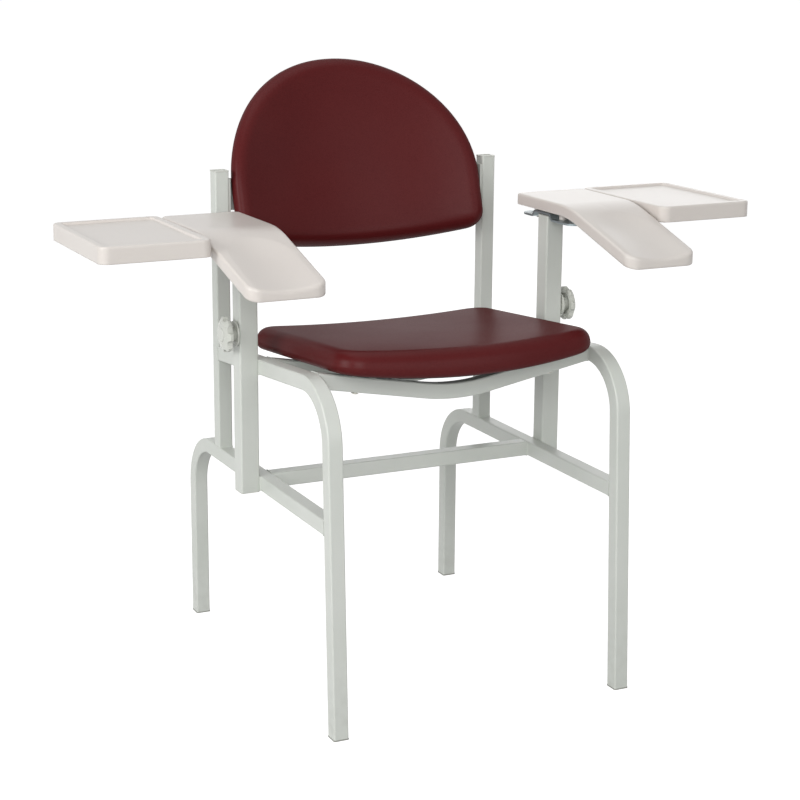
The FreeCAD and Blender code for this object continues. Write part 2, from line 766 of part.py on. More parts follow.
def knob_body(base):
    # turned about X: a lip, a neck round the clamp nut, and a scalloped grip with a domed face
    lip = knob_lip_diameter / 2
    neck = knob_neck_diameter / 2
    grip = knob_diameter / 2
    cap = cap_diameter / 2 + plug_clearance
    start = knob_grip_start
    side_end = knob_length - knob_dome

    def place(x, r):
        return base + Vector(x, 0, r)

    dome_middle = place(knob_length - knob_dome / 4, (grip + cap) / 2)
    turned = [place(side_end, grip), place(start + knob_edge_round, grip), place(start, grip - knob_edge_round),
              place(start, neck), place(knob_lip_height, neck), place(knob_lip_height, lip), place(0, lip), base,
              place(knob_length, 0), place(knob_length, cap)]
    edges = [Part.LineSegment(p, q).toShape() for p, q in zip(turned, turned[1:])]
    edges.append(Part.Arc(turned[-1], dome_middle, turned[0]).toShape())
    body = Part.Face(Part.Wire(edges)).revolve(base, sideways, 360)
    for flute in range(knob_flutes):
        turn = 2 * math.pi * flute / knob_flutes
        away = grip + knob_flute_radius - knob_flute_depth
        centre = base + Vector(0, math.cos(turn), math.sin(turn)) * away
        body = body.cut(rod(centre + sideways * knob_lip_height, sideways, knob_flute_radius, knob_length))
    hollow = ring(base + sideways * start, sideways, knob_hollow_diameter / 2, neck, knob_hollow_depth)
    nut_room = rod(base, sideways, nut_reach + knob_nut_gap, nut_height - knob_gap + knob_nut_gap)
    cap_seat = rod(base + sideways * (knob_length - cap_height + cap_rise), sideways, cap, cap_height)
    stud = rod(base, sideways, stud_diameter / 2, stud_reach)
    return body.cut(hollow).cut(nut_room).cut(cap_seat).cut(stud)


def make_knob():
    base = Vector(sleeve_x + sleeve / 2 + knob_gap, sleeve_y, clamp_height)
    save_pair("knob", knob_body(base))
    cap_foot = base + sideways * (knob_length - cap_height + cap_rise)
    cap = rod(cap_foot, sideways, cap_diameter / 2, cap_height - cap_rise)
    cap = cap.fuse(Part.makeCone(cap_diameter / 2, cap_diameter / 2 - cap_rise, cap_rise,
                                 cap_foot + sideways * (cap_height - cap_rise), sideways))
    save_pair("knob_cap", cap.removeSplitter())
    post_face = sleeve_x + tube / 2
    pad_start = Vector(post_face + pad_gap, sleeve_y, clamp_height)
    save_pair("pressure_pad", rod(pad_start, sideways, stud_diameter / 2, pad_height))
    stud_start = pad_start + sideways * pad_height
    stud_end = base.x + stud_reach
    save_pair("knob_stud", rod(stud_start, sideways, stud_diameter / 2, stud_end - stud_start.x))


# Armrest and tray

def at(out, forth, z):
    # a place given from the post's axis
    return Vector(sleeve_x + out, sleeve_y - forth, z)


def rounded_polygon(points, radii):
    # a closed outline with its own radius at each corner
    edges = []
    count = len(points)
    cuts = []
    for i in range(count):
        corner = points[i]
        run_in = (corner - points[i - 1]).normalize()
        run_out = (points[(i + 1) % count] - corner).normalize()
        turn = run_in.getAngle(run_out)
        setback = radii[i] * math.tan(turn / 2)
        inward = (run_out - run_in).normalize()
        middle = corner + inward * (radii[i] / math.cos(turn / 2) - radii[i])
        cuts.append((corner - run_in * setback, middle, corner + run_out * setback))
    for i in range(count):
        start, middle, end = cuts[i]
        edges.append(Part.Arc(start, middle, end).toShape())
        edges.append(Part.LineSegment(end, cuts[(i + 1) % count][0]).toShape())
    return Part.Face(Part.Wire(edges))


def arm_plan(inset):
    corners = [at(-arm_inner + inset, -arm_rear + inset, 0), at(arm_outer_rear - inset, -arm_rear + inset, 0),
               at(arm_outer_front - inset, arm_front - inset, 0), at(-arm_inner + inset, arm_front - inset, 0)]
    radii = [arm_rear_corner - inset, arm_rear_corner - inset, arm_front_corner - inset, arm_front_corner - inset]
    return rounded_polygon(corners, radii)


def arm_slab(top_drop, bottom_drop):
    # the bent slab between two depths below the armrest's top, wider than the armrest
    slope = math.radians(arm_slope_angle)
    far = arm_front + overrun
    near = -arm_rear - overrun

    def line(drop, radius):
        knee_forth = arm_knee - drop * math.tan(slope / 2)
        level = arm_top - drop
        end = at(0, far, level - (far - knee_forth) * math.tan(slope))
        return bent_path([at(0, near, level), at(0, knee_forth, level), end], radius)

    top = line(top_drop, arm_knee_radius - top_drop)
    bottom = line(bottom_drop, arm_knee_radius - bottom_drop)
    caps = [Part.LineSegment(top.Vertexes[0].Point, bottom.Vertexes[0].Point).toShape(),
            Part.LineSegment(top.Vertexes[-1].Point, bottom.Vertexes[-1].Point).toShape()]
    outline = Part.Wire(Part.__sortEdges__(top.Edges + bottom.Edges + caps))
    face = Part.Face(outline)
    face.translate(Vector(-arm_inner - overrun, 0, 0))
    return face.extrude(sideways * (arm_inner + arm_outer_rear + 2 * overrun))


def arm_height_at(forth):
    slope = math.radians(arm_slope_angle)
    return arm_top - max(0, forth - arm_knee) * math.tan(slope)


def scoop(margin):
    # the drum that presses the forearm channel into the slope
    start = at(scoop_centre, scoop_start, arm_height_at(scoop_start))
    end = at(scoop_centre, arm_front, arm_height_at(arm_front) - scoop_depth)
    along = (end - start).normalize()
    up = along.cross(sideways).normalize()
    if up.z < 0:
        up = -up
    centre = start + up * scoop_radius - along * (arm_front + arm_rear)
    return rod(centre, along, scoop_radius + margin, 2 * (arm_front + arm_rear))


def prism_of(face, z0, z1):
    placed = face.copy()
    placed.translate(Vector(0, 0, z0))
    return placed.extrude(upright * (z1 - z0))


def armrest_shell():
    low = arm_height_at(arm_front) - 2 * overrun
    high = arm_top + overrun
    outer = arm_slab(0, arm_thick).common(prism_of(arm_plan(0), low, high))
    rim = []
    upper = arm_slab(-overrun, arm_thick / 2)
    for edge in outer.Edges:
        if upper.isInside(edge.CenterOfMass, thread_clearance, True) and not is_upright(edge):
            rim.append(edge)
    outer = outer.makeFillet(arm_edge_round, rim)
    outer = outer.cut(scoop(0))
    room = arm_slab(arm_wall, arm_thick + overrun).common(prism_of(arm_plan(arm_wall), low, high))
    room = room.cut(scoop(arm_wall))
    shell = outer.cut(room)
    ribs = []
    for step in (-1, 0, 1):
        out = sleeve_x + scoop_centre + step * rib_pitch
        ribs.append(block(out, out + rib_thick, sleeve_y + arm_rear, sleeve_y - arm_front, low, high))
    for step in (0, 1, 2):
        forth = sleeve_y - cross_rib_start - step * cross_rib_pitch
        ribs.append(block(sleeve_x - arm_inner, sleeve_x + arm_outer_rear, forth, forth - rib_thick, low, high))
    rib_zone = arm_slab(arm_wall / 2, arm_thick - arm_wall).common(prism_of(arm_plan(arm_wall / 2), low, high))
    rib_zone = rib_zone.cut(scoop(arm_wall / 2))
    web = ribs[0]
    for rib in ribs[1:]:
        web = web.fuse(rib)
    strap_room = block(sleeve_x - overrun, sleeve_x + strap_outer, sleeve_y - strap_forth + strap_width,
                       sleeve_y - strap_forth - strap_width, low, high)
    bracket_room = block(sleeve_x - plate_width, sleeve_x + plate_width / 2 + arm_wall,
                         sleeve_y + arm_rear, sleeve_y - arm_knee, low, high)
    web = web.common(rib_zone).cut(strap_room).cut(bracket_room)
    return shell.fuse(web).removeSplitter()


def is_upright(edge):
    direction = edge.tangentAt((edge.FirstParameter + edge.LastParameter) / 2)
    return abs(direction.z) > math.cos(math.radians(45))


def boss(shape, out, forth, foot_z, skin_z, depth):
    # a screw boss from foot_z up into the skin, with its pilot hole
    foot = at(out, forth, foot_z)
    solid = rod(foot, upright, boss_diameter / 2, skin_z - foot_z)
    return shape.fuse(solid).cut(rod(foot, upright, screw_diameter / 2, depth + screw_clearance))


def pan_screw(out, forth, seat_z, length):
    seat = at(out, forth, seat_z)
    shank = rod(seat, upright, screw_diameter / 2 - thread_clearance, length)
    head = rod(seat, -upright, screw_head_diameter / 2, screw_head_height)
    return shank.fuse(head).removeSplitter()


strap_screw_places = [strap_inner + strap_screw_edge, strap_inner + strap_screw_edge + strap_screw_pitch,
                      strap_outer - strap_screw_edge - strap_screw_pitch, strap_outer - strap_screw_edge]


def make_armrest():
    shell = armrest_shell()
    skin = arm_top - arm_wall / 2
    for forth in (-plate_screw_offset, plate_screw_offset):
        shell = boss(shell, 0, forth, plate_end_top, skin, plate_screw_length - plate_thick)
    for out in strap_screw_places[:2]:
        shell = boss(shell, out, strap_forth, strap_top, skin, strap_screw_length - strap_thick)
    half = strap_width / 2 + strap_clearance
    notch = block(sleeve_x + strap_inner, sleeve_x + strap_outer, sleeve_y - strap_forth - half,
                  sleeve_y - strap_forth + half, arm_top - arm_thick - overrun, strap_top)
    wall_only = block(sleeve_x + arm_outer_front, sleeve_x + strap_outer, sleeve_y - arm_front, sleeve_y + arm_rear,
                      arm_top - arm_thick - overrun, strap_top + strap_clearance)
    shell = shell.cut(notch.common(wall_only))
    save_pair("armrest", shell.removeSplitter())


def make_tray():
    inner = arm_outer_rear + tray_gap
    outer = inner + tray_width
    bottom = arm_top - tray_thick

    def plan(inset):
        corners = [at(inner + inset, -tray_rear + inset, 0), at(outer - inset, -tray_rear + inset, 0),
                   at(outer - inset, tray_front - inset, 0), at(inner + inset, tray_front - inset, 0)]
        return rounded_polygon(corners, [max(tray_corner - inset, tray_recess_corner / 2)] * 4)

    body = prism_of(plan(0), bottom, arm_top)
    top = [e for e in body.Edges if e.BoundBox.ZMin > arm_top - tray_wall]
    body = body.makeFillet(tray_edge_round, top)
    floor_z = arm_top - tray_recess
    upper = plan(tray_rim).OuterWire
    lower = plan(tray_rim + tray_recess_flare).OuterWire
    upper.translate(Vector(0, 0, arm_top))
    lower.translate(Vector(0, 0, floor_z))
    recess = Part.makeLoft([lower, upper], True, True)
    body = body.cut(recess)
    room = prism_of(plan(tray_wall), bottom - overrun, floor_z - tray_wall)
    body = body.cut(room)
    web = []
    for share in tray_rib_shares:
        forth = -tray_rear + share * (tray_front + tray_rear)
        web.append(block(sleeve_x + inner, sleeve_x + outer, sleeve_y - forth, sleeve_y - forth - rib_thick,
                         bottom + arm_wall, floor_z))
    web.append(block(sleeve_x + (inner + outer) / 2, sleeve_x + (inner + outer) / 2 + rib_thick,
                     sleeve_y + tray_rear, sleeve_y - tray_front, bottom + arm_wall, floor_z))
    zone = prism_of(plan(tray_wall / 2), bottom, floor_z - tray_wall / 2)
    half = strap_width / 2 + strap_clearance
    strap_room = block(sleeve_x, sleeve_x + strap_outer + strap_clearance, sleeve_y - strap_forth - half,
                       sleeve_y - strap_forth + half, bottom - overrun, strap_top + strap_clearance)
    for rib in web:
        body = body.fuse(rib.common(zone).cut(strap_room))
    for out in strap_screw_places[2:]:
        body = boss(body, out, strap_forth, strap_top, floor_z - tray_wall / 2, strap_screw_length - strap_thick)
    notch = block(sleeve_x + inner - tray_gap, sleeve_x + inner + tray_rim, sleeve_y - strap_forth - half,
                  sleeve_y - strap_forth + half, bottom - overrun, strap_top + strap_clearance)
    body = body.cut(notch)
    save_pair("tray", body.removeSplitter())


def make_bracket():
    # a plate that arches over the sleeve and steps down to rounded ends
    middle = plate_top - plate_thick / 2
    end = middle - plate_step
    foot = plate_arch + plate_step_run
    run = [at(0, -plate_rear - overrun, end), at(0, -foot, end), at(0, -plate_arch, middle),
           at(0, plate_arch, middle), at(0, foot, end), at(0, plate_front + overrun, end)]
    section = section_at(rounded_outline(plate_width + overrun, plate_thick, 0), run[0], Vector(0, -1, 0), sideways)
    strip = bent_path(run, plate_bend_radius).makePipeShell([section], True, False)
    mid = (plate_front - plate_rear) / 2
    outline = Part.Face(rounded_outline(plate_width, plate_front + plate_rear, plate_width / 2 - thread_clearance))
    outline.translate(at(0, mid, end - plate_step))
    plate = strip.common(outline.extrude(upright * (3 * plate_step)))
    cuts = [(0, pivot_diameter / 2 + pivot_clearance), (plate_front - plate_width / 2, plate_hole / 2),
            (plate_width / 2 - plate_rear, plate_hole / 2),
            (plate_screw_offset, screw_diameter / 2 + screw_clearance),
            (-plate_screw_offset, screw_diameter / 2 + screw_clearance)]
    for forth, radius in cuts:
        plate = plate.cut(rod(at(0, forth, plate_top - overrun), upright, radius, 2 * overrun))
    save_pair("arm_bracket", plate)


def make_strap():
    strap = block(sleeve_x + strap_inner, sleeve_x + strap_outer, sleeve_y - strap_forth - strap_width / 2,
                  sleeve_y - strap_forth + strap_width / 2, strap_top - strap_thick, strap_top)
    for out in strap_screw_places:
        strap = strap.cut(rod(at(out, strap_forth, strap_top - overrun), upright,
                              screw_diameter / 2 + screw_clearance, 2 * overrun))
    save_pair("tray_strap", strap)
    plate_foot = plate_end_top - plate_thick
    strap_foot = strap_top - strap_thick
    screws = [pan_screw(0, forth, plate_foot, plate_screw_length) for forth in (-plate_screw_offset, plate_screw_offset)]
    screws += [pan_screw(out, strap_forth, strap_foot, strap_screw_length) for out in strap_screw_places]
    save_pair("arm_screws", Part.makeCompound(screws))


make_frame()
tee_nuts = make_seat() + make_back()
save("tee_nuts", Part.makeCompound(tee_nuts))
make_sleeve()
make_arm_post()
make_pivot()
make_knob()
make_armrest()
make_tray()
make_bracket()
make_strap()

box = Part.makeCompound([shape for name, shape in written]).BoundBox
print(len(written), "nodes, box", [round(v, 1) for v in (box.XMin, box.XMax, box.YMin, box.YMax, box.ZMin, box.ZMax)])
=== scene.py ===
import json
import math

import bmesh
import bpy
import numpy as np
from mathutils import Matrix, Vector
from mathutils.geometry import convex_hull_2d

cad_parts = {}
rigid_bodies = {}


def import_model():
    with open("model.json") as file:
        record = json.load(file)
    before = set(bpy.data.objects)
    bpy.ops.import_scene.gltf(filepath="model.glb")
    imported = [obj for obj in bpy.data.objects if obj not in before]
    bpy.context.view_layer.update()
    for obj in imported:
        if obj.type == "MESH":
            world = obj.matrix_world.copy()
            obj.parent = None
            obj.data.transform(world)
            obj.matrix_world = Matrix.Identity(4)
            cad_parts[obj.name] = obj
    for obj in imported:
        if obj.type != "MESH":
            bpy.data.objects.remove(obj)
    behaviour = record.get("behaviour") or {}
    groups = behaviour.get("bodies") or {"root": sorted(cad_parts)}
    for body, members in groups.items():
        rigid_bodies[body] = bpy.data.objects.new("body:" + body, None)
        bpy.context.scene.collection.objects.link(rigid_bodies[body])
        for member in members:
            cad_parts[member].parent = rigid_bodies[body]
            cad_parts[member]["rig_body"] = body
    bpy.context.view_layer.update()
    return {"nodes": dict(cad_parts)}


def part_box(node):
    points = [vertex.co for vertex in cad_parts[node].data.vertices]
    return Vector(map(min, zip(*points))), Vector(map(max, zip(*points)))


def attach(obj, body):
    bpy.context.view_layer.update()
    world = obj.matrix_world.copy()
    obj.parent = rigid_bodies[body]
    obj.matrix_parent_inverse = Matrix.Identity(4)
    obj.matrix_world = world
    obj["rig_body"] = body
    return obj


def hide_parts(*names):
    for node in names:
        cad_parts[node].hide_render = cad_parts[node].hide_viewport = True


# The phlebotomy chair: painted frame, vinyl seat and back, moulded arms and trays.
# Metres. The chair faces -Y; left and right are the sitter's, so left is +X.

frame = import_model()


# Shader sums: a socket that can be added, multiplied and so on in plain Python

class Signal:
    def __init__(self, finish, socket):
        self.finish = finish
        self.socket = socket

    def sum(self, operation, first, second):
        return self.finish.add("ShaderNodeMath", {"operation": operation}, {0: first, 1: second})

    def __add__(self, other):
        return self.sum("ADD", self, other)

    def __radd__(self, other):
        return self.sum("ADD", other, self)

    def __sub__(self, other):
        return self.sum("SUBTRACT", self, other)

    def __rsub__(self, other):
        return self.sum("SUBTRACT", other, self)

    def __mul__(self, other):
        return self.sum("MULTIPLY", self, other)

    def __rmul__(self, other):
        return self.sum("MULTIPLY", other, self)


class Finish:
    # one material: its fixed values go on the shader, and its nodes are added from here
    def __init__(self, name, fixed):
        self.material = bpy.data.materials.new(name)
        self.material.use_nodes = True
        self.tree = self.material.node_tree
        self.shader = self.tree.nodes["Principled BSDF"]
        for socket, value in fixed.items():
            self.shader.inputs[socket].default_value = value

    def add(self, kind, settings=None, inputs=None, output=0):
        node = self.tree.nodes.new(kind)
        for key, value in (settings or {}).items():
            if key == "stops":
                self.setStops(node.color_ramp, value)
            else:
                setattr(node, key, value)
        for key, value in (inputs or {}).items():
            self.feed(node.inputs[key], value)
        return Signal(self, node.outputs[output])

    def setStops(self, ramp, stops):
        while len(ramp.elements) < len(stops):
            ramp.elements.new(1)
        for element, (place, colour) in zip(ramp.elements, stops):
            element.position = place
            element.color = colour

    def feed(self, socket, value):
        if isinstance(value, Signal):
            self.tree.links.new(value.socket, socket)
        else:
            socket.default_value = value

    def give(self, socket, value):
        self.feed(self.shader.inputs[socket], value)

    def place(self):
        # where a point of the piece is, in metres
        return self.add("ShaderNodeTexCoord", output="Object")

    def stretched(self, factors):
        return self.add("ShaderNodeVectorMath", {"operation": "MULTIPLY"}, {0: self.place(), 1: factors})

    def noise(self, scale, detail=2, roughness=0.5, where=None):
        return self.add("ShaderNodeTexNoise", {}, {"Vector": where or self.place(), "Scale": scale,
                                                   "Detail": detail, "Roughness": roughness})

    def cells(self, scale, feature="F1", where=None):
        return self.add("ShaderNodeTexVoronoi", {"feature": feature},
                        {"Vector": where or self.place(), "Scale": scale}, output="Distance")

    def ramp(self, value, low, high, start=0, end=1):
        # value from low..high to start..end, kept inside
        return self.add("ShaderNodeMapRange", {"clamp": True},
                        {"Value": value, "From Min": low, "From Max": high, "To Min": start, "To Max": end})

    def tint(self, share, first, second):
        # share of the second colour over the first
        return self.add("ShaderNodeMix", {"data_type": "RGBA"}, {0: share, 6: first, 7: second}, output=2)

    def relief(self, height, depth, under=None):
        # depth in metres at a height of 1
        settings = {"Height": height, "Distance": depth, "Strength": 1.0}
        if under:
            settings["Normal"] = under
        return self.add("ShaderNodeBump", {}, settings)


def colour(hexText):
    # a screen colour, such as d5d8d3, as the shader's linear colour
    parts = [int(hexText[i:i + 2], 16) / 255 for i in (0, 2, 4)]
    linear = [p / 12.92 if p <= 0.04045 else ((p + 0.055) / 1.055) ** 2.4 for p in parts]
    return (*linear, 1)


# Finishes

def paintFinish(name, look):
    # powder coat: a soft orange peel, and a little handling dirt towards the floor
    finish = Finish(name, {"IOR": 1.5, "Coat Roughness": 0.2, "Metallic": 0.0})
    cloud = finish.noise(look["cloudScale"], 3)
    base = finish.tint(finish.ramp(cloud, 0.35, 0.65), colour(look["colour"]), colour(look["shade"]))
    height = finish.add("ShaderNodeSeparateXYZ", {}, {0: finish.place()}, output=2)
    patches = finish.ramp(finish.noise(look["dirtScale"], 4), 0.45, 0.7)
    low = finish.ramp(height, 0.0, look["dirtHeight"], 1, 0) * patches
    finish.give("Base Color", finish.tint(low * look["dirtShare"], base, colour(look["dirt"])))
    finish.give("Roughness", look["roughness"] + low * 0.2 + (cloud - 0.5) * 0.1)
    peel = finish.noise(look["peelScale"], 1)
    finish.give("Normal", finish.relief(peel, look["peelDepth"]))
    return finish.material


def plasticFinish(name, look):
    # moulded plastic with a fine spark-eroded grain
    finish = Finish(name, {"IOR": 1.48, "Metallic": 0.0})
    cloud = finish.ramp(finish.noise(look["cloudScale"], 2), 0.3, 0.7)
    finish.give("Base Color", finish.tint(cloud, colour(look["colour"]), colour(look["shade"])))
    scuffs = finish.ramp(finish.noise(look["scuffScale"], 5, 0.65, finish.stretched((1, 0.2, 1))), 0.55, 0.75)
    finish.give("Roughness", look["roughness"] + scuffs * look["scuffShare"])
    grain = finish.cells(look["grainScale"]) + finish.noise(look["grainScale"] * 2, 2) * 0.6
    softened = finish.add("ShaderNodeBevel", {"samples": 8}, {"Radius": look["edgeRadius"]})
    finish.give("Normal", finish.relief(grain, look["grainDepth"], softened))
    return finish.material


def vinylFinish(name, look):
    # upholstery vinyl: pebbled grain with painted shade in its valleys, faint stretch marks, and a topcoat
    # whose gloss varies with handling
    finish = Finish(name, {"Specular IOR Level": 0.0, "Coat IOR": 1.5, "Coat Roughness": look["coatRoughness"]})
    wander = finish.noise(look["warpScale"], 2)
    pebbles = finish.ramp(finish.cells(look["grainScale"], "DISTANCE_TO_EDGE"), 0.0, 0.22)
    pores = finish.noise(look["grainScale"] * 2.2, 3)
    creases = finish.noise(look["creaseScale"], 3, 0.55, finish.stretched((1, 0.6, 1)))
    mottle = finish.ramp(finish.noise(look["mottleScale"], 4), 0.3, 0.7)
    base = finish.tint(mottle * 0.5, colour(look["colour"]), colour(look["shade"]))
    # painted shade: the grain's valleys are tinted towards a darker colour, where the pebbles' recesses would
    # fall into shade
    base = finish.tint((1 - pebbles) * look["valleyShadeShare"], base, colour(look["valleyShade"]))
    finish.give("Base Color", base)
    finish.give("Roughness", look["roughness"] + (wander - 0.5) * 0.1 + (1 - pebbles) * 0.06)
    finish.give("Coat Weight", look["coat"] * (1 + (wander - 0.5) * 0.4 - (1 - pebbles) * 0.3))
    broad = finish.relief(creases, look["creaseDepth"])
    finish.give("Normal", finish.relief(pebbles + pores * 0.35, look["grainDepth"], broad))
    return finish.material


def steelFinish(name, look):
    # plated or coated plain steel with fine drawn lines
    finish = Finish(name, {"IOR": 1.5, "Metallic": look["metal"]})
    lines = finish.noise(look["lineScale"], 3, 0.6, finish.stretched(look["lineStretch"]))
    streaks = finish.ramp(lines, 0.3, 0.7)
    finish.give("Base Color", finish.tint(streaks, colour(look["colour"]), colour(look["shade"])))
    finish.give("Roughness", look["roughness"] + (lines - 0.5) * 0.15)
    finish.give("Normal", finish.relief(lines, look["lineDepth"]))
    return finish.material


def mattFinish(name, look):
    # rubber or felted cloth: dusty, with no gloss to speak of
    finish = Finish(name, {"IOR": 1.45, "Metallic": 0.0})
    dust = finish.ramp(finish.noise(look["dustScale"], 4), 0.45, 0.75)
    base = finish.tint(dust * look["dustShare"], colour(look["colour"]), colour(look["dust"]))
    finish.give("Base Color", base)
    finish.give("Roughness", look["roughness"] + dust * 0.1)
    finish.give("Normal", finish.relief(finish.noise(look["grainScale"], 2), look["grainDepth"]))
    return finish.material


def plyFinish(name, look):
    # rotary-cut face veneer: long wavy figure along the board, fine open pores
    finish = Finish(name, {"IOR": 1.45, "Metallic": 0.0})
    along = finish.stretched(look["stretch"])
    figure = finish.noise(look["figureScale"], 4, 0.6, along)
    wave = finish.add("ShaderNodeTexWave", {"wave_type": "BANDS", "bands_direction": "X"},
                      {"Vector": finish.place(), "Scale": look["bandScale"], "Distortion": 14.0, "Detail": 3.0,
                       "Detail Scale": 1.2}, output="Fac")
    mix = finish.ramp(figure * 0.6 + wave * 0.4, 0.3, 0.7)
    pores = finish.ramp(finish.noise(look["poreScale"], 2, 0.5, along), 0.62, 0.7)
    base = finish.tint(mix, colour(look["colour"]), colour(look["shade"]))
    finish.give("Base Color", finish.tint(pores * 0.5, base, colour(look["pore"])))
    finish.give("Roughness", look["roughness"] + mix * 0.08)
    finish.give("Normal", finish.relief(mix * 0.4 - pores, look["reliefDepth"]))
    return finish.material


finishes = {
    "framePaint": paintFinish("framePaint", {
        "colour": "d3d6d0", "shade": "ced2cb", "dirt": "8d8a80", "cloudScale": 9, "dirtHeight": 0.16,
        "dirtScale": 60, "dirtShare": 0.12, "roughness": 0.36, "peelScale": 900, "peelDepth": 0.00003}),
    "capPaint": paintFinish("capPaint", {
        "colour": "cfd1ca", "shade": "c8cac2", "dirt": "8d8a80", "cloudScale": 14, "dirtHeight": 0.1,
        "dirtScale": 90, "dirtShare": 0.25, "roughness": 0.45, "peelScale": 1500, "peelDepth": 0.00002}),
    "armPlastic": plasticFinish("armPlastic", {
        "colour": "d9d3cd", "shade": "d6cfc9", "cloudScale": 6, "scuffScale": 160, "scuffShare": 0.06,
        "roughness": 0.3, "grainScale": 1600, "grainDepth": 0.000004, "edgeRadius": 0.0025}),
    "knobPlastic": plasticFinish("knobPlastic", {
        "colour": "d4d6cf", "shade": "cccfc6", "cloudScale": 40, "scuffScale": 220, "scuffShare": 0.15,
        "roughness": 0.26, "grainScale": 2200, "grainDepth": 0.000001, "edgeRadius": 0.0012}),
    "greyPlastic": plasticFinish("greyPlastic", {
        "colour": "9d9e98", "shade": "94958e", "cloudScale": 30, "scuffScale": 200, "scuffShare": 0.15,
        "roughness": 0.48, "grainScale": 1800, "grainDepth": 0.000012, "edgeRadius": 0.001}),
    # the darker valley colour here is painted shade in the vinyl grain's valleys
    "burgundyVinyl": vinylFinish("burgundyVinyl", {
        "colour": "591b1c", "shade": "53181a", "valleyShade": "350d0f", "valleyShadeShare": 0.3, "grainScale": 620,
        "grainDepth": 0.00003, "creaseScale": 30, "creaseDepth": 0.0004, "mottleScale": 11, "warpScale": 7,
        "roughness": 0.4, "coat": 0.27, "coatRoughness": 0.34}),
    "bracketSteel": steelFinish("bracketSteel", {
        "colour": "a3aeb1", "shade": "8c989c", "metal": 0.75, "roughness": 0.34, "lineScale": 160,
        "lineStretch": (1, 9, 4), "lineDepth": 0.00001}),
    "zincSteel": steelFinish("zincSteel", {
        "colour": "c9c8c0", "shade": "b4b2a6", "metal": 0.95, "roughness": 0.34, "lineScale": 400,
        "lineStretch": (1, 1, 4), "lineDepth": 0.000004}),
    "blackCloth": mattFinish("blackCloth", {
        "colour": "171717", "dust": "262524", "dustScale": 90, "dustShare": 0.5, "roughness": 0.85,
        "grainScale": 1500, "grainDepth": 0.00006}),
    "blackRubber": mattFinish("blackRubber", {
        "colour": "1b1b1b", "dust": "55534e", "dustScale": 70, "dustShare": 0.35, "roughness": 0.72,
        "grainScale": 1200, "grainDepth": 0.00002}),
    "plywood": plyFinish("plywood", {
        "colour": "c9a877", "shade": "b08b5b", "pore": "8a6a42", "stretch": (9, 1, 9), "figureScale": 5,
        "bandScale": 5, "poreScale": 110, "roughness": 0.6, "reliefDepth": 0.00005}),
}
print("finishes made:", len(finishes))

nodeFinishes = {
    "framePaint": ["front_leg", "rear_leg", "back_post", "arm_sleeve", "clamp_nut", "back_bracket", "arm_post",
                   "front_seat_bar", "rear_seat_bar", "cross_tube"],
    "capPaint": ["post_caps", "sleeve_plugs"],
    "bracketSteel": ["arm_bracket", "tray_strap"],
    "zincSteel": ["post_nut", "pivot_bolt", "pivot_washer", "arm_screws", "knob_stud", "back_bolts", "tee_nuts",
                  "seat_bolts"],
    "armPlastic": ["armrest", "tray"],
    "knobPlastic": ["knob", "knob_cap"],
    "greyPlastic": ["sleeve_bush", "front_glide", "rear_glide", "post_guide"],
    "blackRubber": ["pressure_pad", "seat_spacers"],
    "burgundyVinyl": ["back_cushion", "seat_cushion"],
    "plywood": ["back_board", "seat_board"],
}
for finishName, endings in nodeFinishes.items():
    for nodeName, node in frame["nodes"].items():
        if nodeName in endings or nodeName.split("_", 1)[-1] in endings:
            node.data.materials.clear()
            node.data.materials.append(finishes[finishName])
print("frame parts dressed")


# Mesh helpers

def addPiece(name, points, faces, finishName, body, smoothAngle=None):
    mesh = bpy.data.meshes.new(name)
    mesh.from_pydata([tuple(p) for p in points], [], faces)
    shape = bmesh.new()
    shape.from_mesh(mesh)
    bmesh.ops.recalc_face_normals(shape, faces=shape.faces)
    shape.to_mesh(mesh)
    shape.free()
    mesh.materials.append(finishes[finishName])
    mesh.polygons.foreach_set("use_smooth", [True] * len(mesh.polygons))
    if smoothAngle is not None:
        mesh.set_sharp_from_angle(angle=math.radians(smoothAngle))
    piece = bpy.data.objects.new(name, mesh)
    bpy.context.scene.collection.objects.link(piece)
    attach(piece, body)
    return piece


def applyModifiers(piece):
    graph = bpy.context.evaluated_depsgraph_get()
    solid = bpy.data.meshes.new_from_object(piece.evaluated_get(graph))
    piece.modifiers.clear()
    old = piece.data
    piece.data = solid
    bpy.data.meshes.remove(old)


def resample(points, count):
    # count places evenly spaced round a closed outline
    closed = points + points[:1]
    steps = [(b - a).length for a, b in zip(closed, closed[1:])]
    spacing = sum(steps) / count
    spots = []
    index = 0
    done = 0.0
    for i in range(count):
        while done + steps[index] < spacing * i:
            done += steps[index]
            index += 1
        spots.append(closed[index].lerp(closed[index + 1], (spacing * i - done) / steps[index]))
    return spots


def arcPoints(centre, radius, start, end, count):
    # angles in degrees, counter-clockwise from +X
    return [centre + Vector((math.cos(a), math.sin(a))) * radius
            for a in (math.radians(start + (end - start) * i / count) for i in range(count + 1))]


def bridge(first, second, faces):
    # joins two closed rings of vertex numbers; the second may have half as many
    count = len(first)
    if count == len(second):
        for i in range(count):
            j = (i + 1) % count
            faces.append((first[i], first[j], second[j], second[i]))
        return
    for i in range(len(second)):
        a, b, c = first[2 * i], first[2 * i + 1], first[(2 * i + 2) % count]
        d, e = second[i], second[(i + 1) % len(second)]
        faces += [(a, b, d), (b, e, d), (b, c, e)]


def closeRings(rings, points, faces):
    # bridges a run of rings and closes the last one onto its middle
    for first, second in zip(rings, rings[1:]):
        bridge(first, second, faces)
    last = rings[-1]
    points.append(sum((points[n] for n in last), Vector((0, 0, 0))) / len(last))
    faces += [(last[i], last[(i + 1) % len(last)], len(points) - 1) for i in range(len(last))]


# Upholstered panels: rings from the turned-under hem, round the edge and in to the middle

# crowded: the spacing, as a share of the step, below which a ring keeps every second place
fillLook = {"smallestRing": 0.07, "crowded": 0.62}


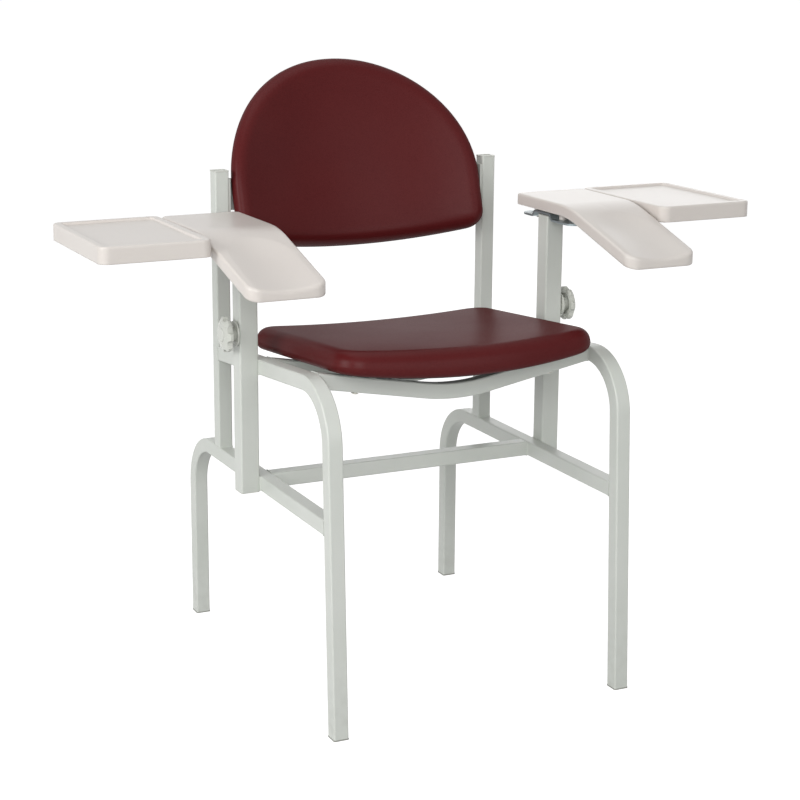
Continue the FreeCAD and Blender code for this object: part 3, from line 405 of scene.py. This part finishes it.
class SoftPanel:
    def __init__(self, outline, look):
        # outline: closed, counter-clockwise
        self.look = look
        self.ring = resample(outline, look["aroundCount"])
        self.inward = []
        for i, _ in enumerate(self.ring):
            step = self.ring[(i + 1) % len(self.ring)] - self.ring[i - 1]
            self.inward.append(Vector((-step.y, step.x)).normalized())
        self.ring = self.inset(look.get("inset", 0))
        self.middle = sum(self.ring, Vector((0, 0))) / len(self.ring)
        self.points, self.faces, self.rings = [], [], []

    def under(self, place):
        radius = self.look["boardRadius"]
        return radius - math.sqrt(radius ** 2 - place.x ** 2) - self.look["boardDrop"] - self.look["cover"]

    def top(self, place):
        if "thickness" in self.look:
            return self.under(place) + self.look["thickness"]
        rise = self.look["topRim"] - self.look["topMiddle"]
        radius = (self.look["halfWidth"] ** 2 + rise ** 2) / (2 * rise)
        return self.look["topMiddle"] + radius - math.sqrt(radius ** 2 - place.x ** 2)

    def inset(self, distance):
        return [p + n * distance for p, n in zip(self.ring, self.inward)]

    def addRing(self, places, level):
        start = len(self.points)
        self.points += [Vector((p.x, p.y, level(p))) for p in places]
        self.rings.append(list(range(start, len(self.points))))

    def addEdge(self):
        low, high = self.look["lowRound"], self.look["highRound"]
        for i in range(self.look["roundCount"] + 1):
            turn = math.pi / 2 * i / self.look["roundCount"]
            self.addRing(self.inset(low * (1 - math.sin(turn))),
                         lambda p: self.under(p) + low * (1 - math.cos(turn)))
        for i in range(1, self.look["sideCount"] + 1):
            share = i / (self.look["sideCount"] + 1)
            pull = self.look["sidePull"] * math.sin(math.pi * share)
            self.addRing(self.inset(pull),
                         lambda p: (self.under(p) + low) * (1 - share) + (self.top(p) - high) * share)
        for i in range(self.look["topRoundCount"] + 1):
            turn = math.pi / 2 * i / self.look["topRoundCount"]
            self.addRing(self.inset(high * (1 - math.cos(turn))),
                         lambda p: self.top(p) - high * (1 - math.sin(turn)))

    def fill(self, distance, level):
        # rings in towards the middle, with half as many points as they close up
        step = self.look["step"]
        places = self.inset(distance)
        reach = max((p - self.middle).length for p in places)
        scale = 1 - step / reach
        while scale > fillLook["smallestRing"]:
            self.addRing([self.middle + (p - self.middle) * scale for p in places], level)
            spacing = 2 * math.pi * reach * scale / len(places)
            if spacing < step * fillLook["crowded"] and len(places) % 2 == 0:
                places = places[::2]
            scale -= step / reach

    def build(self, closedBack):
        look = self.look
        if closedBack:
            self.addRing(self.inset(look["hem"]), self.under)
            self.fill(look["hem"], self.under)
            closeRings(self.rings, self.points, self.faces)
            self.rings = self.rings[:1]
        else:
            self.addRing(self.inset(look["hem"]), lambda p: self.under(p) + look["hemThickness"])
            self.addRing(self.inset(look["hem"]), self.under)
        self.addRing(self.inset((look["hem"] + look["lowRound"]) / 2), self.under)
        held = list(range(len(self.points)))
        self.addEdge()
        self.fill(look["highRound"], self.top)
        closeRings(self.rings, self.points, self.faces)
        return held


clothLook = {"quality": 4, "mass": 0.4, "tension": 40, "bending": 8, "pressure": 3.0, "frames": 8, "cap": 0.002,
             "evenings": 30}


def swell(piece, look, held):
    # a short cloth run under pressure, so that the cover stretches over its foam
    start = [v.co.copy() for v in piece.data.vertices]
    group = piece.vertex_groups.new(name="held")
    group.add(held, 1.0, "REPLACE")
    cloth = piece.modifiers.new("cover", "CLOTH")
    settings = cloth.settings
    settings.quality = look["quality"]
    settings.mass = look["mass"]
    settings.tension_stiffness = look["tension"]
    settings.compression_stiffness = look["tension"]
    settings.shear_stiffness = look["tension"] / 3
    settings.bending_stiffness = look["bending"]
    settings.use_pressure = True
    settings.uniform_pressure_force = look["pressure"]
    settings.vertex_group_mass = group.name
    settings.effector_weights.gravity = 0
    cloth.collision_settings.use_collision = False
    for number in range(1, look["frames"] + 1):
        bpy.context.scene.frame_set(number)
    applyModifiers(piece)
    bpy.context.scene.frame_set(1)
    # the moves are capped and evened out between neighbours, so that no mesh line shows
    moves = np.array([v.co - home for v, home in zip(piece.data.vertices, start)])
    lengths = np.linalg.norm(moves, axis=1, keepdims=True)
    moves *= np.minimum(1, look["cap"] / np.maximum(lengths, 1e-9))
    edges = np.array([e.vertices[:] for e in piece.data.edges])
    for _ in range(look["evenings"]):
        total, count = moves.copy(), np.ones((len(moves), 1))
        for here, there in ((0, 1), (1, 0)):
            np.add.at(total, edges[:, here], moves[edges[:, there]])
            np.add.at(count, edges[:, here], 1)
        moves = total / count
        moves[held] = 0
    for vertex, home, move in zip(piece.data.vertices, start, moves):
        vertex.co = home + Vector(move)
    piece.vertex_groups.clear()


outlineSteps = {"bow": 60, "corner": 40, "rearCorner": 50, "backTop": 200, "armCorner": 16}


def bowedCorner(look):
    # the rounded corner between a side and the edge bowed about a centre above it
    x = look["halfWidth"] - look["corner"]
    y = look["edge"] + look["bow"] - math.sqrt((look["bow"] - look["corner"]) ** 2 - x ** 2)
    return Vector((x, y)), math.degrees(math.atan2(y - look["edge"] - look["bow"], x))


def panelOutline(look, farEdge):
    # the bowed edge's +X half, its corner and the far edge, then the same mirrored
    centre, slope = bowedCorner(look)
    outline = arcPoints(Vector((0, look["edge"] + look["bow"])), look["bow"], -90, slope, outlineSteps["bow"])
    outline += arcPoints(centre, look["corner"], slope, 0, outlineSteps["corner"])[1:] + farEdge
    return outline + [Vector((-p.x, p.y)) for p in reversed(outline[1:]) if p.x > 1e-6]


def upholster(name, outline, look, place, closedBack, replaced):
    panel = SoftPanel(outline, look)
    held = panel.build(closedBack)
    piece = addPiece(name, [place @ p for p in panel.points], panel.faces, "burgundyVinyl", "frame")
    swell(piece, clothLook, held)
    fine = piece.modifiers.new("fine", "SUBSURF")
    fine.levels = 1
    applyModifiers(piece)
    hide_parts(*replaced)
    return panel


seatLook = {
    "halfWidth": 0.2011, "edge": 0.0286, "rear": 0.3986, "bow": 0.853, "corner": 0.0447, "rearCorner": 0.0435,
    "boardRadius": 1.298, "boardDrop": 0.0135, "cover": 0.0006, "topMiddle": 0.0246, "topRim": 0.0326,
    "hem": 0.026, "hemThickness": 0.0012, "lowRound": 0.0092, "highRound": 0.0200, "roundCount": 4,
    "topRoundCount": 7, "sideCount": 1, "sidePull": -0.0004, "aroundCount": 176, "step": 0.009,
    "origin": (0, -0.2867, 0.5046), "tilt": -4.73,
    "dustCover": {"inset": 0.014, "thickness": 0.0008, "cover": 0.0016, "lowRound": 0.0003, "highRound": 0.0003,
                  "sideCount": 0, "roundCount": 1, "topRoundCount": 1}}

backLook = {
    "halfWidth": 0.2056, "edge": -0.0473, "bow": 1.818, "corner": 0.025, "topCentre": 0.042,
    "boardRadius": 0.447, "boardDrop": 0.019, "cover": 0.0002, "topMiddle": 0.0146, "topRim": 0.0668,
    "hem": 0.020, "hemThickness": 0.0, "lowRound": 0.011, "highRound": 0.022, "roundCount": 4,
    "topRoundCount": 7, "sideCount": 2, "sidePull": -0.0004, "aroundCount": 192, "step": 0.009,
    "origin": (0, 0.1808, 0.650), "tilt": -17.0}


def makeSeat(look):
    rear = Vector((look["halfWidth"] - look["rearCorner"], look["rear"] - look["rearCorner"]))
    outline = panelOutline(look, arcPoints(rear, look["rearCorner"], 0, 90, outlineSteps["rearCorner"]))
    place = Matrix.Translation(look["origin"]) @ Matrix.Rotation(math.radians(look["tilt"]), 4, "X")
    cloth = SoftPanel(outline, {**look, **look["dustCover"]})
    cloth.build(True)
    points = [place @ p for p in cloth.points]
    piece = addPiece("dustCover", points, cloth.faces, "blackCloth", "frame", 50)
    wide, deep = (max(p[k] for p in cloth.ring) - min(p[k] for p in cloth.ring) for k in (0, 1))
    area = sum(a.x * b.y - b.x * a.y for a, b in zip(cloth.ring, cloth.ring[1:] + cloth.ring[:1])) / 2
    return upholster("seatPad", outline, look, place, False, ["seat_cushion", "seat_board"]), place


def makeBack(look):
    top = arcPoints(Vector((0, look["topCentre"])), look["halfWidth"], 0, 90, outlineSteps["backTop"])
    outline = panelOutline(look, top)
    place = (Matrix.Translation(look["origin"]) @ Matrix.Rotation(math.radians(look["tilt"]), 4, "X")
             @ Matrix.Rotation(math.radians(90), 4, "X"))
    return upholster("backPad", outline, look, place, True, ["back_cushion", "back_board"]), place


seatPanel, seatPlace = makeSeat(seatLook)
backPanel, backPlace = makeBack(backLook)
print("seat and back upholstered")


# Round bars along a line: bosses, welt, staples and weld beads

def tubeAlong(path, radii, closed, sides, points, faces):
    # radii: one for each place on the path
    count = len(path)
    rings = []
    for i, place in enumerate(path):
        ahead = path[(i + 1) % count] if closed or i < count - 1 else path[i]
        behind = path[i - 1] if closed or i > 0 else path[i]
        along = (ahead - behind).normalized()
        helper = Vector((0, 0, 1)) if abs(along.z) < 0.9 else Vector((0, 1, 0))
        across = along.cross(helper).normalized()
        over = across.cross(along)
        start = len(points)
        for k in range(sides):
            angle = 2 * math.pi * k / sides
            points.append(place + (across * math.cos(angle) + over * math.sin(angle)) * radii[i])
        rings.append(list(range(start, len(points))))
    for first, second in zip(rings, rings[1:]):
        bridge(first, second, faces)
    if closed:
        twist = min(range(sides), key=lambda k: (points[rings[-1][0]] - points[rings[0][k]]).length)
        bridge(rings[-1], rings[0][twist:] + rings[0][:twist], faces)
    else:
        faces += [tuple(rings[0]), tuple(reversed(rings[-1]))]


# Armrests: one moulded shell each, with a soft forearm dish that runs out at the front,
# and ribs and screw bosses below

armLook = {
    "inner": 0.0205, "outerRear": 0.100, "outerFront": 0.0925, "rear": 0.076, "front": 0.256,
    "rearCorner": 0.012, "frontCorner": 0.018, "slope": 16.4, "knee": 0.084, "kneeRadius": 0.200,
    "thickness": 0.017, "wall": 0.003,
    "dishStart": 0.108, "dishRun": 0.060, "dishCentre": 0.036, "dishWidth": 0.047, "dishDepth": 0.0052,
    "dishBlend": 1.25, "lowRound": 0.0008, "highRound": 0.0035, "roundCount": 2, "topRoundCount": 6,
    "sideCount": 2, "sidePull": 0.0, "aroundCount": 256, "step": 0.0042, "ceilingRound": 0.003,
    "ceilingRoundCount": 4, "strapForth": 0.030, "strapHalf": 0.0138, "strapOut": 0.088, "strapDrop": 0.0105,
    "ribThickness": 0.0022, "ribDrop": 0.014, "ribSink": 0.001, "ribStep": 0.008,
    "longRibs": [(0.0151, 0.084, 0.254), (0.0361, -0.074, 0.005), (0.0361, 0.055, 0.254),
                 (0.0571, -0.074, 0.005), (0.0571, 0.055, 0.254)],  # out, start, end
    "crossRibs": [0.1031, 0.1541, 0.2051],  # forth
    "bossRadius": 0.006, "bossTaper": 1.08, "bossSides": 24,
    "bosses": [(0, -0.037, 0.0278), (0, 0.037, 0.0278), (0.050, 0.030, 0.0115),
               (0.080, 0.030, 0.0115)]}  # out, forth, drop


class ArmShell(SoftPanel):
    # x is away from the sitter and -y towards the front, from the post's axis; levels are from the top
    def bent(self, drop, place):
        slope = math.radians(self.look["slope"])
        radius = self.look["kneeRadius"] - drop
        knee = self.look["knee"] - drop * math.tan(slope / 2)
        reach = radius * math.tan(slope / 2)
        forth = -place.y - (knee - reach)
        if forth <= 0:
            return -drop
        if -place.y < knee + reach * math.cos(slope):
            return -drop - radius + math.sqrt(radius ** 2 - forth ** 2)
        return -drop - (-place.y - knee) * math.tan(slope)

    def dish(self, place):
        # a channel of one width that starts as a rounded spoon
        look = self.look
        start = max(0.0, look["dishStart"] + look["dishRun"] + place.y) / look["dishRun"]
        away = ((place.x - look["dishCentre"]) / look["dishWidth"]) ** 2 + start ** 2
        return look["dishDepth"] * max(0.0, 1 - away) ** look["dishBlend"]

    def under(self, place):
        look = self.look
        if place.x > look["strapOut"] and abs(-place.y - look["strapForth"]) < look["strapHalf"]:
            return -look["strapDrop"]
        return self.bent(look["thickness"], place)

    def top(self, place):
        return self.bent(0, place) - self.dish(place)

    def ceiling(self, place):
        return self.top(place) - self.look["wall"]

    def buildShell(self):
        look = self.look
        self.addRing(self.inset(look["wall"]), self.under)
        self.addEdge()
        self.fill(look["highRound"], self.top)
        closeRings(self.rings, self.points, self.faces)
        self.rings = self.rings[:1]
        for i in range(look["ceilingRoundCount"] + 1):
            turn = math.pi / 2 * i / look["ceilingRoundCount"]
            self.addRing(self.inset(look["wall"] + look["ceilingRound"] * (1 - math.cos(turn))),
                         lambda p: self.ceiling(p) - look["ceilingRound"] * (1 - math.sin(turn)))
        self.fill(look["wall"] + look["ceilingRound"], self.ceiling)
        closeRings(self.rings, self.points, self.faces)

    def addRib(self, start, end):
        # a thin wall from one place to another, sunk into the ceiling
        look = self.look
        along = (end - start).normalized()
        half = Vector((-along.y, along.x)) * (look["ribThickness"] / 2)
        count = max(1, round((end - start).length / look["ribStep"]))
        rings = []
        for i in range(count + 1):
            middle = start.lerp(end, i / count)
            first = len(self.points)
            root, edge = self.ceiling(middle) + look["ribSink"], self.bent(look["ribDrop"], middle)
            for side, level in ((-1, root), (-1, edge), (1, edge), (1, root)):
                self.points.append(Vector((*(middle + half * side), level)))
            rings.append(list(range(first, first + 4)))
        for one, other in zip(rings, rings[1:]):
            bridge(one, other, self.faces)
        self.faces += [tuple(rings[0]), tuple(reversed(rings[-1]))]

    def addInside(self):
        look = self.look
        for out, start, end in look["longRibs"]:
            self.addRib(Vector((out, -start)), Vector((out, -end)))
        for forth in look["crossRibs"]:
            share = (forth + look["rear"]) / (look["front"] + look["rear"])
            outer = look["outerRear"] + (look["outerFront"] - look["outerRear"]) * share
            inner = look["ribSink"] - look["inner"]
            self.addRib(Vector((inner, -forth)), Vector((outer - look["ribSink"], -forth)))
        for out, forth, drop in look["bosses"]:
            spot = Vector((out, -forth))
            path = [Vector((*spot, -drop)), Vector((*spot, self.ceiling(spot) + look["ribSink"]))]
            radii = [look["bossRadius"], look["bossRadius"] * look["bossTaper"]]
            tubeAlong(path, radii, False, look["bossSides"], self.points, self.faces)


def roundedOutline(corners, radii):
    # corners counter-clockwise, each with its own radius
    outline = []
    for i, (corner, radius) in enumerate(zip(corners, radii)):
        back = (corners[i - 1] - corner).normalized()
        on = (corners[(i + 1) % len(corners)] - corner).normalized()
        half = back.angle(on) / 2
        centre = corner + (back + on).normalized() * (radius / math.sin(half))
        start = math.degrees(math.atan2(back.x, -back.y))
        end = start + 180 - math.degrees(2 * half)
        outline += arcPoints(centre, radius, start, end, outlineSteps["armCorner"])
    return outline


def makeArmShell(side, mirror, look):
    low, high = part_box(side + "_arm_post")
    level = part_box(side + "_armrest")[1].z
    corners = [Vector((-look["inner"], look["rear"])), Vector((-look["inner"], -look["front"])),
               Vector((look["outerFront"], -look["front"])), Vector((look["outerRear"], look["rear"]))]
    radii = [look[k] for k in ("rearCorner", "frontCorner", "frontCorner", "rearCorner")]
    outline = roundedOutline(corners, radii)
    panel = ArmShell(outline, look)
    panel.buildShell()
    panel.addInside()
    middle = (low + high) / 2
    points = [Vector((middle.x + mirror * p.x, middle.y + p.y, level + p.z)) for p in panel.points]
    piece = addPiece(side + "ArmShell", points, panel.faces, "armPlastic",
                     frame["nodes"][side + "_armrest"]["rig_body"], 50)
    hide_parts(side + "_armrest")


for side, mirror in (("left", 1), ("right", -1)):
    makeArmShell(side, mirror, armLook)
print("armrests moulded")


# The back's welt, round the edge of its cover

weltLook = {"inset": 0.013, "radius": 0.0021, "sides": 10}


def makeWelt(look):
    places = [Vector((p.x, p.y, backPanel.under(p))) for p in backPanel.inset(look["inset"])]
    points, faces = [], []
    path = [backPlace @ p for p in places]
    tubeAlong(path, [look["radius"]] * len(path), True, look["sides"], points, faces)
    addPiece("backWelt", points, faces, "burgundyVinyl", "frame")


makeWelt(weltLook)


# Staples that hold the seat's cover to the board

stapleLook = {"inset": 0.0190, "every": 4, "width": 0.010, "wire": 0.0005, "rise": 0.0013, "sides": 6,
              "lean": 25, "leanChange": 2.4}  # degrees, and how fast it changes along the row


def makeStaples(look):
    points, faces = [], []
    places = seatPanel.inset(look["inset"])
    for i in range(1, len(places), look["every"]):
        along = (places[(i + 1) % len(places)] - places[i - 1]).normalized()
        lean = math.radians(look["lean"] * math.sin(i * look["leanChange"]))
        turned = Vector((along.x * math.cos(lean) - along.y * math.sin(lean),
                         along.x * math.sin(lean) + along.y * math.cos(lean)))
        ends = [places[i] + turned * (side * look["width"] / 2) for side in (-1, 1)]
        legs = [Vector((p.x, p.y, seatPanel.under(p) + look["wire"] * 2)) for p in ends]
        tops = [Vector((p.x, p.y, seatPanel.under(p) - look["rise"])) for p in ends]
        path = [seatPlace @ p for p in (legs[0], tops[0], tops[1], legs[1])]
        tubeAlong(path, [look["wire"]] * len(path), False, look["sides"], points, faces)
    addPiece("seatStaples", points, faces, "zincSteel", "frame", 40)


makeStaples(stapleLook)
print("welt and staples made")


# Weld beads where the tubes meet

weldLook = {
    "radius": 0.0009, "spacing": 0.0016, "ripple": 0.16, "ripplePitch": 0.0034, "sides": 8, "reach": 0.0012,
    "rails": [{"level": 0.5046, "from": -0.2867, "fall": math.tan(math.radians(4.73)), "height": 0.0222},
              {"level": 0.3086, "from": 0.0, "fall": 0.0, "height": 0.0222}]}


def endLoop(nodeName, axis, side, reach):
    # the outline of a tube's end face, where it meets the next tube
    corners = [v.co.copy() for v in frame["nodes"][nodeName].data.vertices]
    edge = max(side * c[axis] for c in corners)
    near = [c for c in corners if side * c[axis] > edge - reach]
    first, second = [k for k in range(3) if k != axis]
    flat = [Vector((c[first], c[second])) for c in near]
    return [near[i] for i in convex_hull_2d(flat)]


def sampled(path, spacing, closed):
    # places at even spacing along straight runs
    ends = path + path[:1] if closed else path
    spots = []
    for a, b in zip(ends, ends[1:]):
        count = max(1, round((b - a).length / spacing))
        spots += [a.lerp(b, i / count) for i in range(count)]
    return spots if closed else spots + [ends[-1]]


def makeWelds(look):
    runs = [(endLoop(name, 0, side, look["reach"]), True)
            for name in ("cross_tube", "front_seat_bar", "rear_seat_bar") for side in (-1, 1)]
    for side in ("left", "right"):
        runs.append((endLoop(side + "_back_post", 2, -1, look["reach"]), True))
        runs.append((endLoop(side + "_front_leg", 1, 1, look["reach"]), True))
        runs.append((endLoop(side + "_rear_leg", 1, -1, look["reach"] * 2), True))
        low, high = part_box(side + "_arm_sleeve")
        innerX = low.x if side == "left" else high.x
        for y in (low.y, high.y):
            for rail in look["rails"]:
                top = rail["level"] - (y - rail["from"]) * rail["fall"]
                runs.append(([Vector((innerX, y, top)), Vector((innerX, y, top - rail["height"]))], False))
    points, faces = [], []
    for path, closed in runs:
        places = sampled(path, look["spacing"], closed)
        turn = 2 * math.pi * look["spacing"] / look["ripplePitch"]
        radii = [look["radius"] * (1 + look["ripple"] * math.sin(turn * i)) for i in range(len(places))]
        tubeAlong(places, radii, closed, look["sides"], points, faces)
    addPiece("weldBeads", points, faces, "framePaint", "frame")


makeWelds(weldLook)
print("welds run")


# Bolts and screws with sockets and recesses, set where the frame has its plain ones

hexBolt = {"headRadius": 0.0055, "shank": 0.003, "socket": "hex", "socketSize": 0.002, "socketDepth": 0.0019}
crossScrew = {"headRadius": 0.0043, "headHeight": 0.0028, "shank": 0.0021, "socket": "cross",
              "socketSize": 0.0024, "socketDepth": 0.0016}
boltLook = {
    "seat_bolts": {**hexBolt, "headHeight": 0.0018, "name": "seatBolts"},
    "back_bolts": {**hexBolt, "headHeight": 0.0033, "name": "backBolts"},
    "left_arm_screws": {**crossScrew, "name": "leftArmScrews"},
    "right_arm_screws": {**crossScrew, "name": "rightArmScrews"}}
headShape = {"domeAngles": (34, 46, 58, 70, 80), "socketTaper": 0.86, "socketLip": 0.0003, "socketBorder": 1.3,
             "tipLength": 0.3, "tipTaper": 0.7, "endDepth": 0.0004, "headDepth": 0.004}
socketShapes = {"round": [1] * 24,
                "hex": [1 / math.cos(math.radians(k * 15 % 60 - 30)) for k in range(24)],
                "cross": [1, 0.97, 0.42, 0.36, 0.42, 0.97] * 4}


def looseParts(nodeName):
    # the separate solids of a frame part, each as its points
    shape = bmesh.new()
    shape.from_mesh(frame["nodes"][nodeName].data)
    bmesh.ops.remove_doubles(shape, verts=shape.verts, dist=1e-6)
    seen = set()
    parts = []
    for vertex in shape.verts:
        if vertex.index in seen:
            continue
        seen.add(vertex.index)
        group = [vertex]
        for member in group:
            for edge in member.link_edges:
                other = edge.other_vert(member)
                if other.index not in seen:
                    seen.add(other.index)
                    group.append(other)
        parts.append([v.co.copy() for v in group])
    shape.free()
    return parts


def boltEnds(points):
    # the middles of a bolt's two end faces, its head first
    cloud = np.array(points)
    centre = cloud.mean(axis=0)
    axis = np.linalg.svd(cloud - centre)[2][0]
    along = (cloud - centre) @ axis
    across = np.linalg.norm(cloud - centre - np.outer(along, axis), axis=1)
    ends = []
    for side in (-1, 1):
        reach = (side * along).max()
        middle = cloud[side * along > reach - headShape["endDepth"]].mean(axis=0)
        ends.append((across[side * along > reach - headShape["headDepth"]].max(), middle))
    ends.sort(key=lambda e: -e[0])
    return Vector(ends[0][1]), Vector(ends[1][1])


def makeBolts(nodeName, look):
    points, faces = [], []
    head, depth, size = look["headRadius"], look["socketDepth"], look["socketSize"]
    for part in looseParts(nodeName):
        top, tip = boltEnds(part)
        turn = (top - tip).to_track_quat("Z", "Y")
        length = (top - tip).length
        dome = [("round", head * math.sin(a), look["headHeight"] * (math.cos(a) - 1))
                for a in (math.radians(d) for d in headShape["domeAngles"])]
        profile = [(look["socket"], size * headShape["socketTaper"], -depth),
                   (look["socket"], size, -headShape["socketLip"]),
                   ("round", size * headShape["socketBorder"], 0)]
        profile += dome + [("round", head, -look["headHeight"]), ("round", look["shank"], -look["headHeight"]),
                           ("round", look["shank"], look["shank"] * headShape["tipLength"] - length),
                           ("round", look["shank"] * headShape["tipTaper"], -length)]
        rings = []
        for shape, radius, level in profile:
            start = len(points)
            for k, share in enumerate(socketShapes[shape]):
                angle = math.radians(15 * k)
                spot = Vector((math.cos(angle) * radius * share, math.sin(angle) * radius * share, level))
                points.append(top + turn @ spot)
            rings.append(list(range(start, len(points))))
        faces.append(tuple(rings[0]))
        closeRings(rings, points, faces)
    body = frame["nodes"][nodeName]["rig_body"]
    piece = addPiece(look["name"], points, faces, "zincSteel", body, 35)
    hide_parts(nodeName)


for nodeName, look in boltLook.items():
    makeBolts(nodeName, look)
print("bolts and screws set")


# Camera, set to the photograph's view

cameraLook = {"place": (-1.22422, -2.52699, 1.10252), "yaw": 23.738, "pitch": 13.87, "roll": -0.119,
              "focalPixels": 1924.24, "centreX": 331.25, "centreY": 390.25, "imageSize": 800, "sensor": 36.0}


def addCamera(look):
    yaw, pitch, roll = (math.radians(look[k]) for k in ("yaw", "pitch", "roll"))
    forward = Vector((math.sin(yaw) * math.cos(pitch), math.cos(yaw) * math.cos(pitch), -math.sin(pitch)))
    right = Vector((math.cos(yaw), -math.sin(yaw), 0))
    up = right.cross(forward)
    right, up = (right * math.cos(roll) + up * math.sin(roll), up * math.cos(roll) - right * math.sin(roll))
    data = bpy.data.cameras.new("camera")
    data.sensor_width = look["sensor"]
    data.lens = look["focalPixels"] / look["imageSize"] * look["sensor"]
    data.shift_x = 0.5 - look["centreX"] / look["imageSize"]
    data.shift_y = look["centreY"] / look["imageSize"] - 0.5
    camera = bpy.data.objects.new("camera", data)
    axes = Matrix((right, up, -forward)).transposed().to_4x4()
    camera.matrix_world = Matrix.Translation(look["place"]) @ axes
    bpy.context.scene.collection.objects.link(camera)
    bpy.context.scene.camera = camera


addCamera(cameraLook)


# Studio: a white floor and backdrop, with soft lamps round the chair

studioLook = {
    "floorSize": 60.0, "floorAlbedo": 0.46, "floorGlow": 0.88, "worldLight": 0.28,
    "lamps": {
        "keyLamp": {"place": (-3.4, -0.7, 1.6), "aim": (0, 0, 0.5), "size": 1.8, "watts": 62},
        "frontLamp": {"place": (-1.6, -2.9, 1.8), "aim": (0, 0, 0.5), "size": 1.8, "watts": 46},
        "topLamp": {"place": (0, 0.3, 3.2), "aim": (0, 0, 0.5), "size": 2.2, "watts": 15},
        "fillLamp": {"place": (0.9, -3.3, 1.3), "aim": (0, 0, 0.5), "size": 2.0, "watts": 18},
        "rearLamp": {"place": (2.0, 2.7, 1.5), "aim": (0, 0, 0.6), "size": 1.8, "watts": 9}}}


def seenDirectly(tree):
    # 1 for what the camera, a mirror or glass sees, 0 for light that bounces
    path = tree.nodes.new("ShaderNodeLightPath")
    seen = path.outputs["Is Camera Ray"]
    for name in ("Is Glossy Ray", "Is Transmission Ray"):
        either = tree.nodes.new("ShaderNodeMath")
        either.operation = "MAXIMUM"
        tree.links.new(seen, either.inputs[0])
        tree.links.new(path.outputs[name], either.inputs[1])
        seen = either.outputs[0]
    return seen


def addFloor(look):
    half = look["floorSize"] / 2
    mesh = bpy.data.meshes.new("studioFloor")
    corners = [(-half, -half, 0), (half, -half, 0), (half, half, 0), (-half, half, 0)]
    mesh.from_pydata(corners, [], [(0, 1, 2, 3)])
    floor = bpy.data.objects.new("studioFloor", mesh)
    bpy.context.scene.collection.objects.link(floor)
    finish = Finish("floorWhite", {"Base Color": (look["floorAlbedo"],) * 3 + (1,), "Roughness": 0.9,
                                   "Specular IOR Level": 0.0})
    tree = finish.tree
    glow = tree.nodes.new("ShaderNodeEmission")
    strength = Signal(finish, seenDirectly(tree)) * look["floorGlow"]
    tree.links.new(strength.socket, glow.inputs["Strength"])
    both = tree.nodes.new("ShaderNodeAddShader")
    tree.links.new(finish.shader.outputs[0], both.inputs[0])
    tree.links.new(glow.outputs[0], both.inputs[1])
    tree.links.new(both.outputs[0], tree.nodes["Material Output"].inputs["Surface"])
    mesh.materials.append(finish.material)


def addWorld(look):
    world = bpy.data.worlds.new("studio")
    bpy.context.scene.world = world
    world.use_nodes = True
    tree = world.node_tree
    level = tree.nodes.new("ShaderNodeMapRange")
    level.inputs["To Min"].default_value = look["worldLight"]
    tree.links.new(seenDirectly(tree), level.inputs["Value"])
    back = tree.nodes["Background"]
    back.inputs["Color"].default_value = (1, 1, 1, 1)
    tree.links.new(level.outputs[0], back.inputs["Strength"])


def addLamps(look):
    for name, lamp in look["lamps"].items():
        data = bpy.data.lights.new(name, "AREA")
        data.shape = "SQUARE"
        data.size = lamp["size"]
        data.energy = lamp["watts"]
        holder = bpy.data.objects.new(name, data)
        place = Vector(lamp["place"])
        holder.location = place
        holder.rotation_euler = (Vector(lamp["aim"]) - place).to_track_quat("-Z", "Y").to_euler()
        bpy.context.scene.collection.objects.link(holder)


addFloor(studioLook)
addWorld(studioLook)
addLamps(studioLook)
bpy.context.scene.view_settings.view_transform = "Standard"
print("camera and studio set")

bpy.context.view_layer.update()
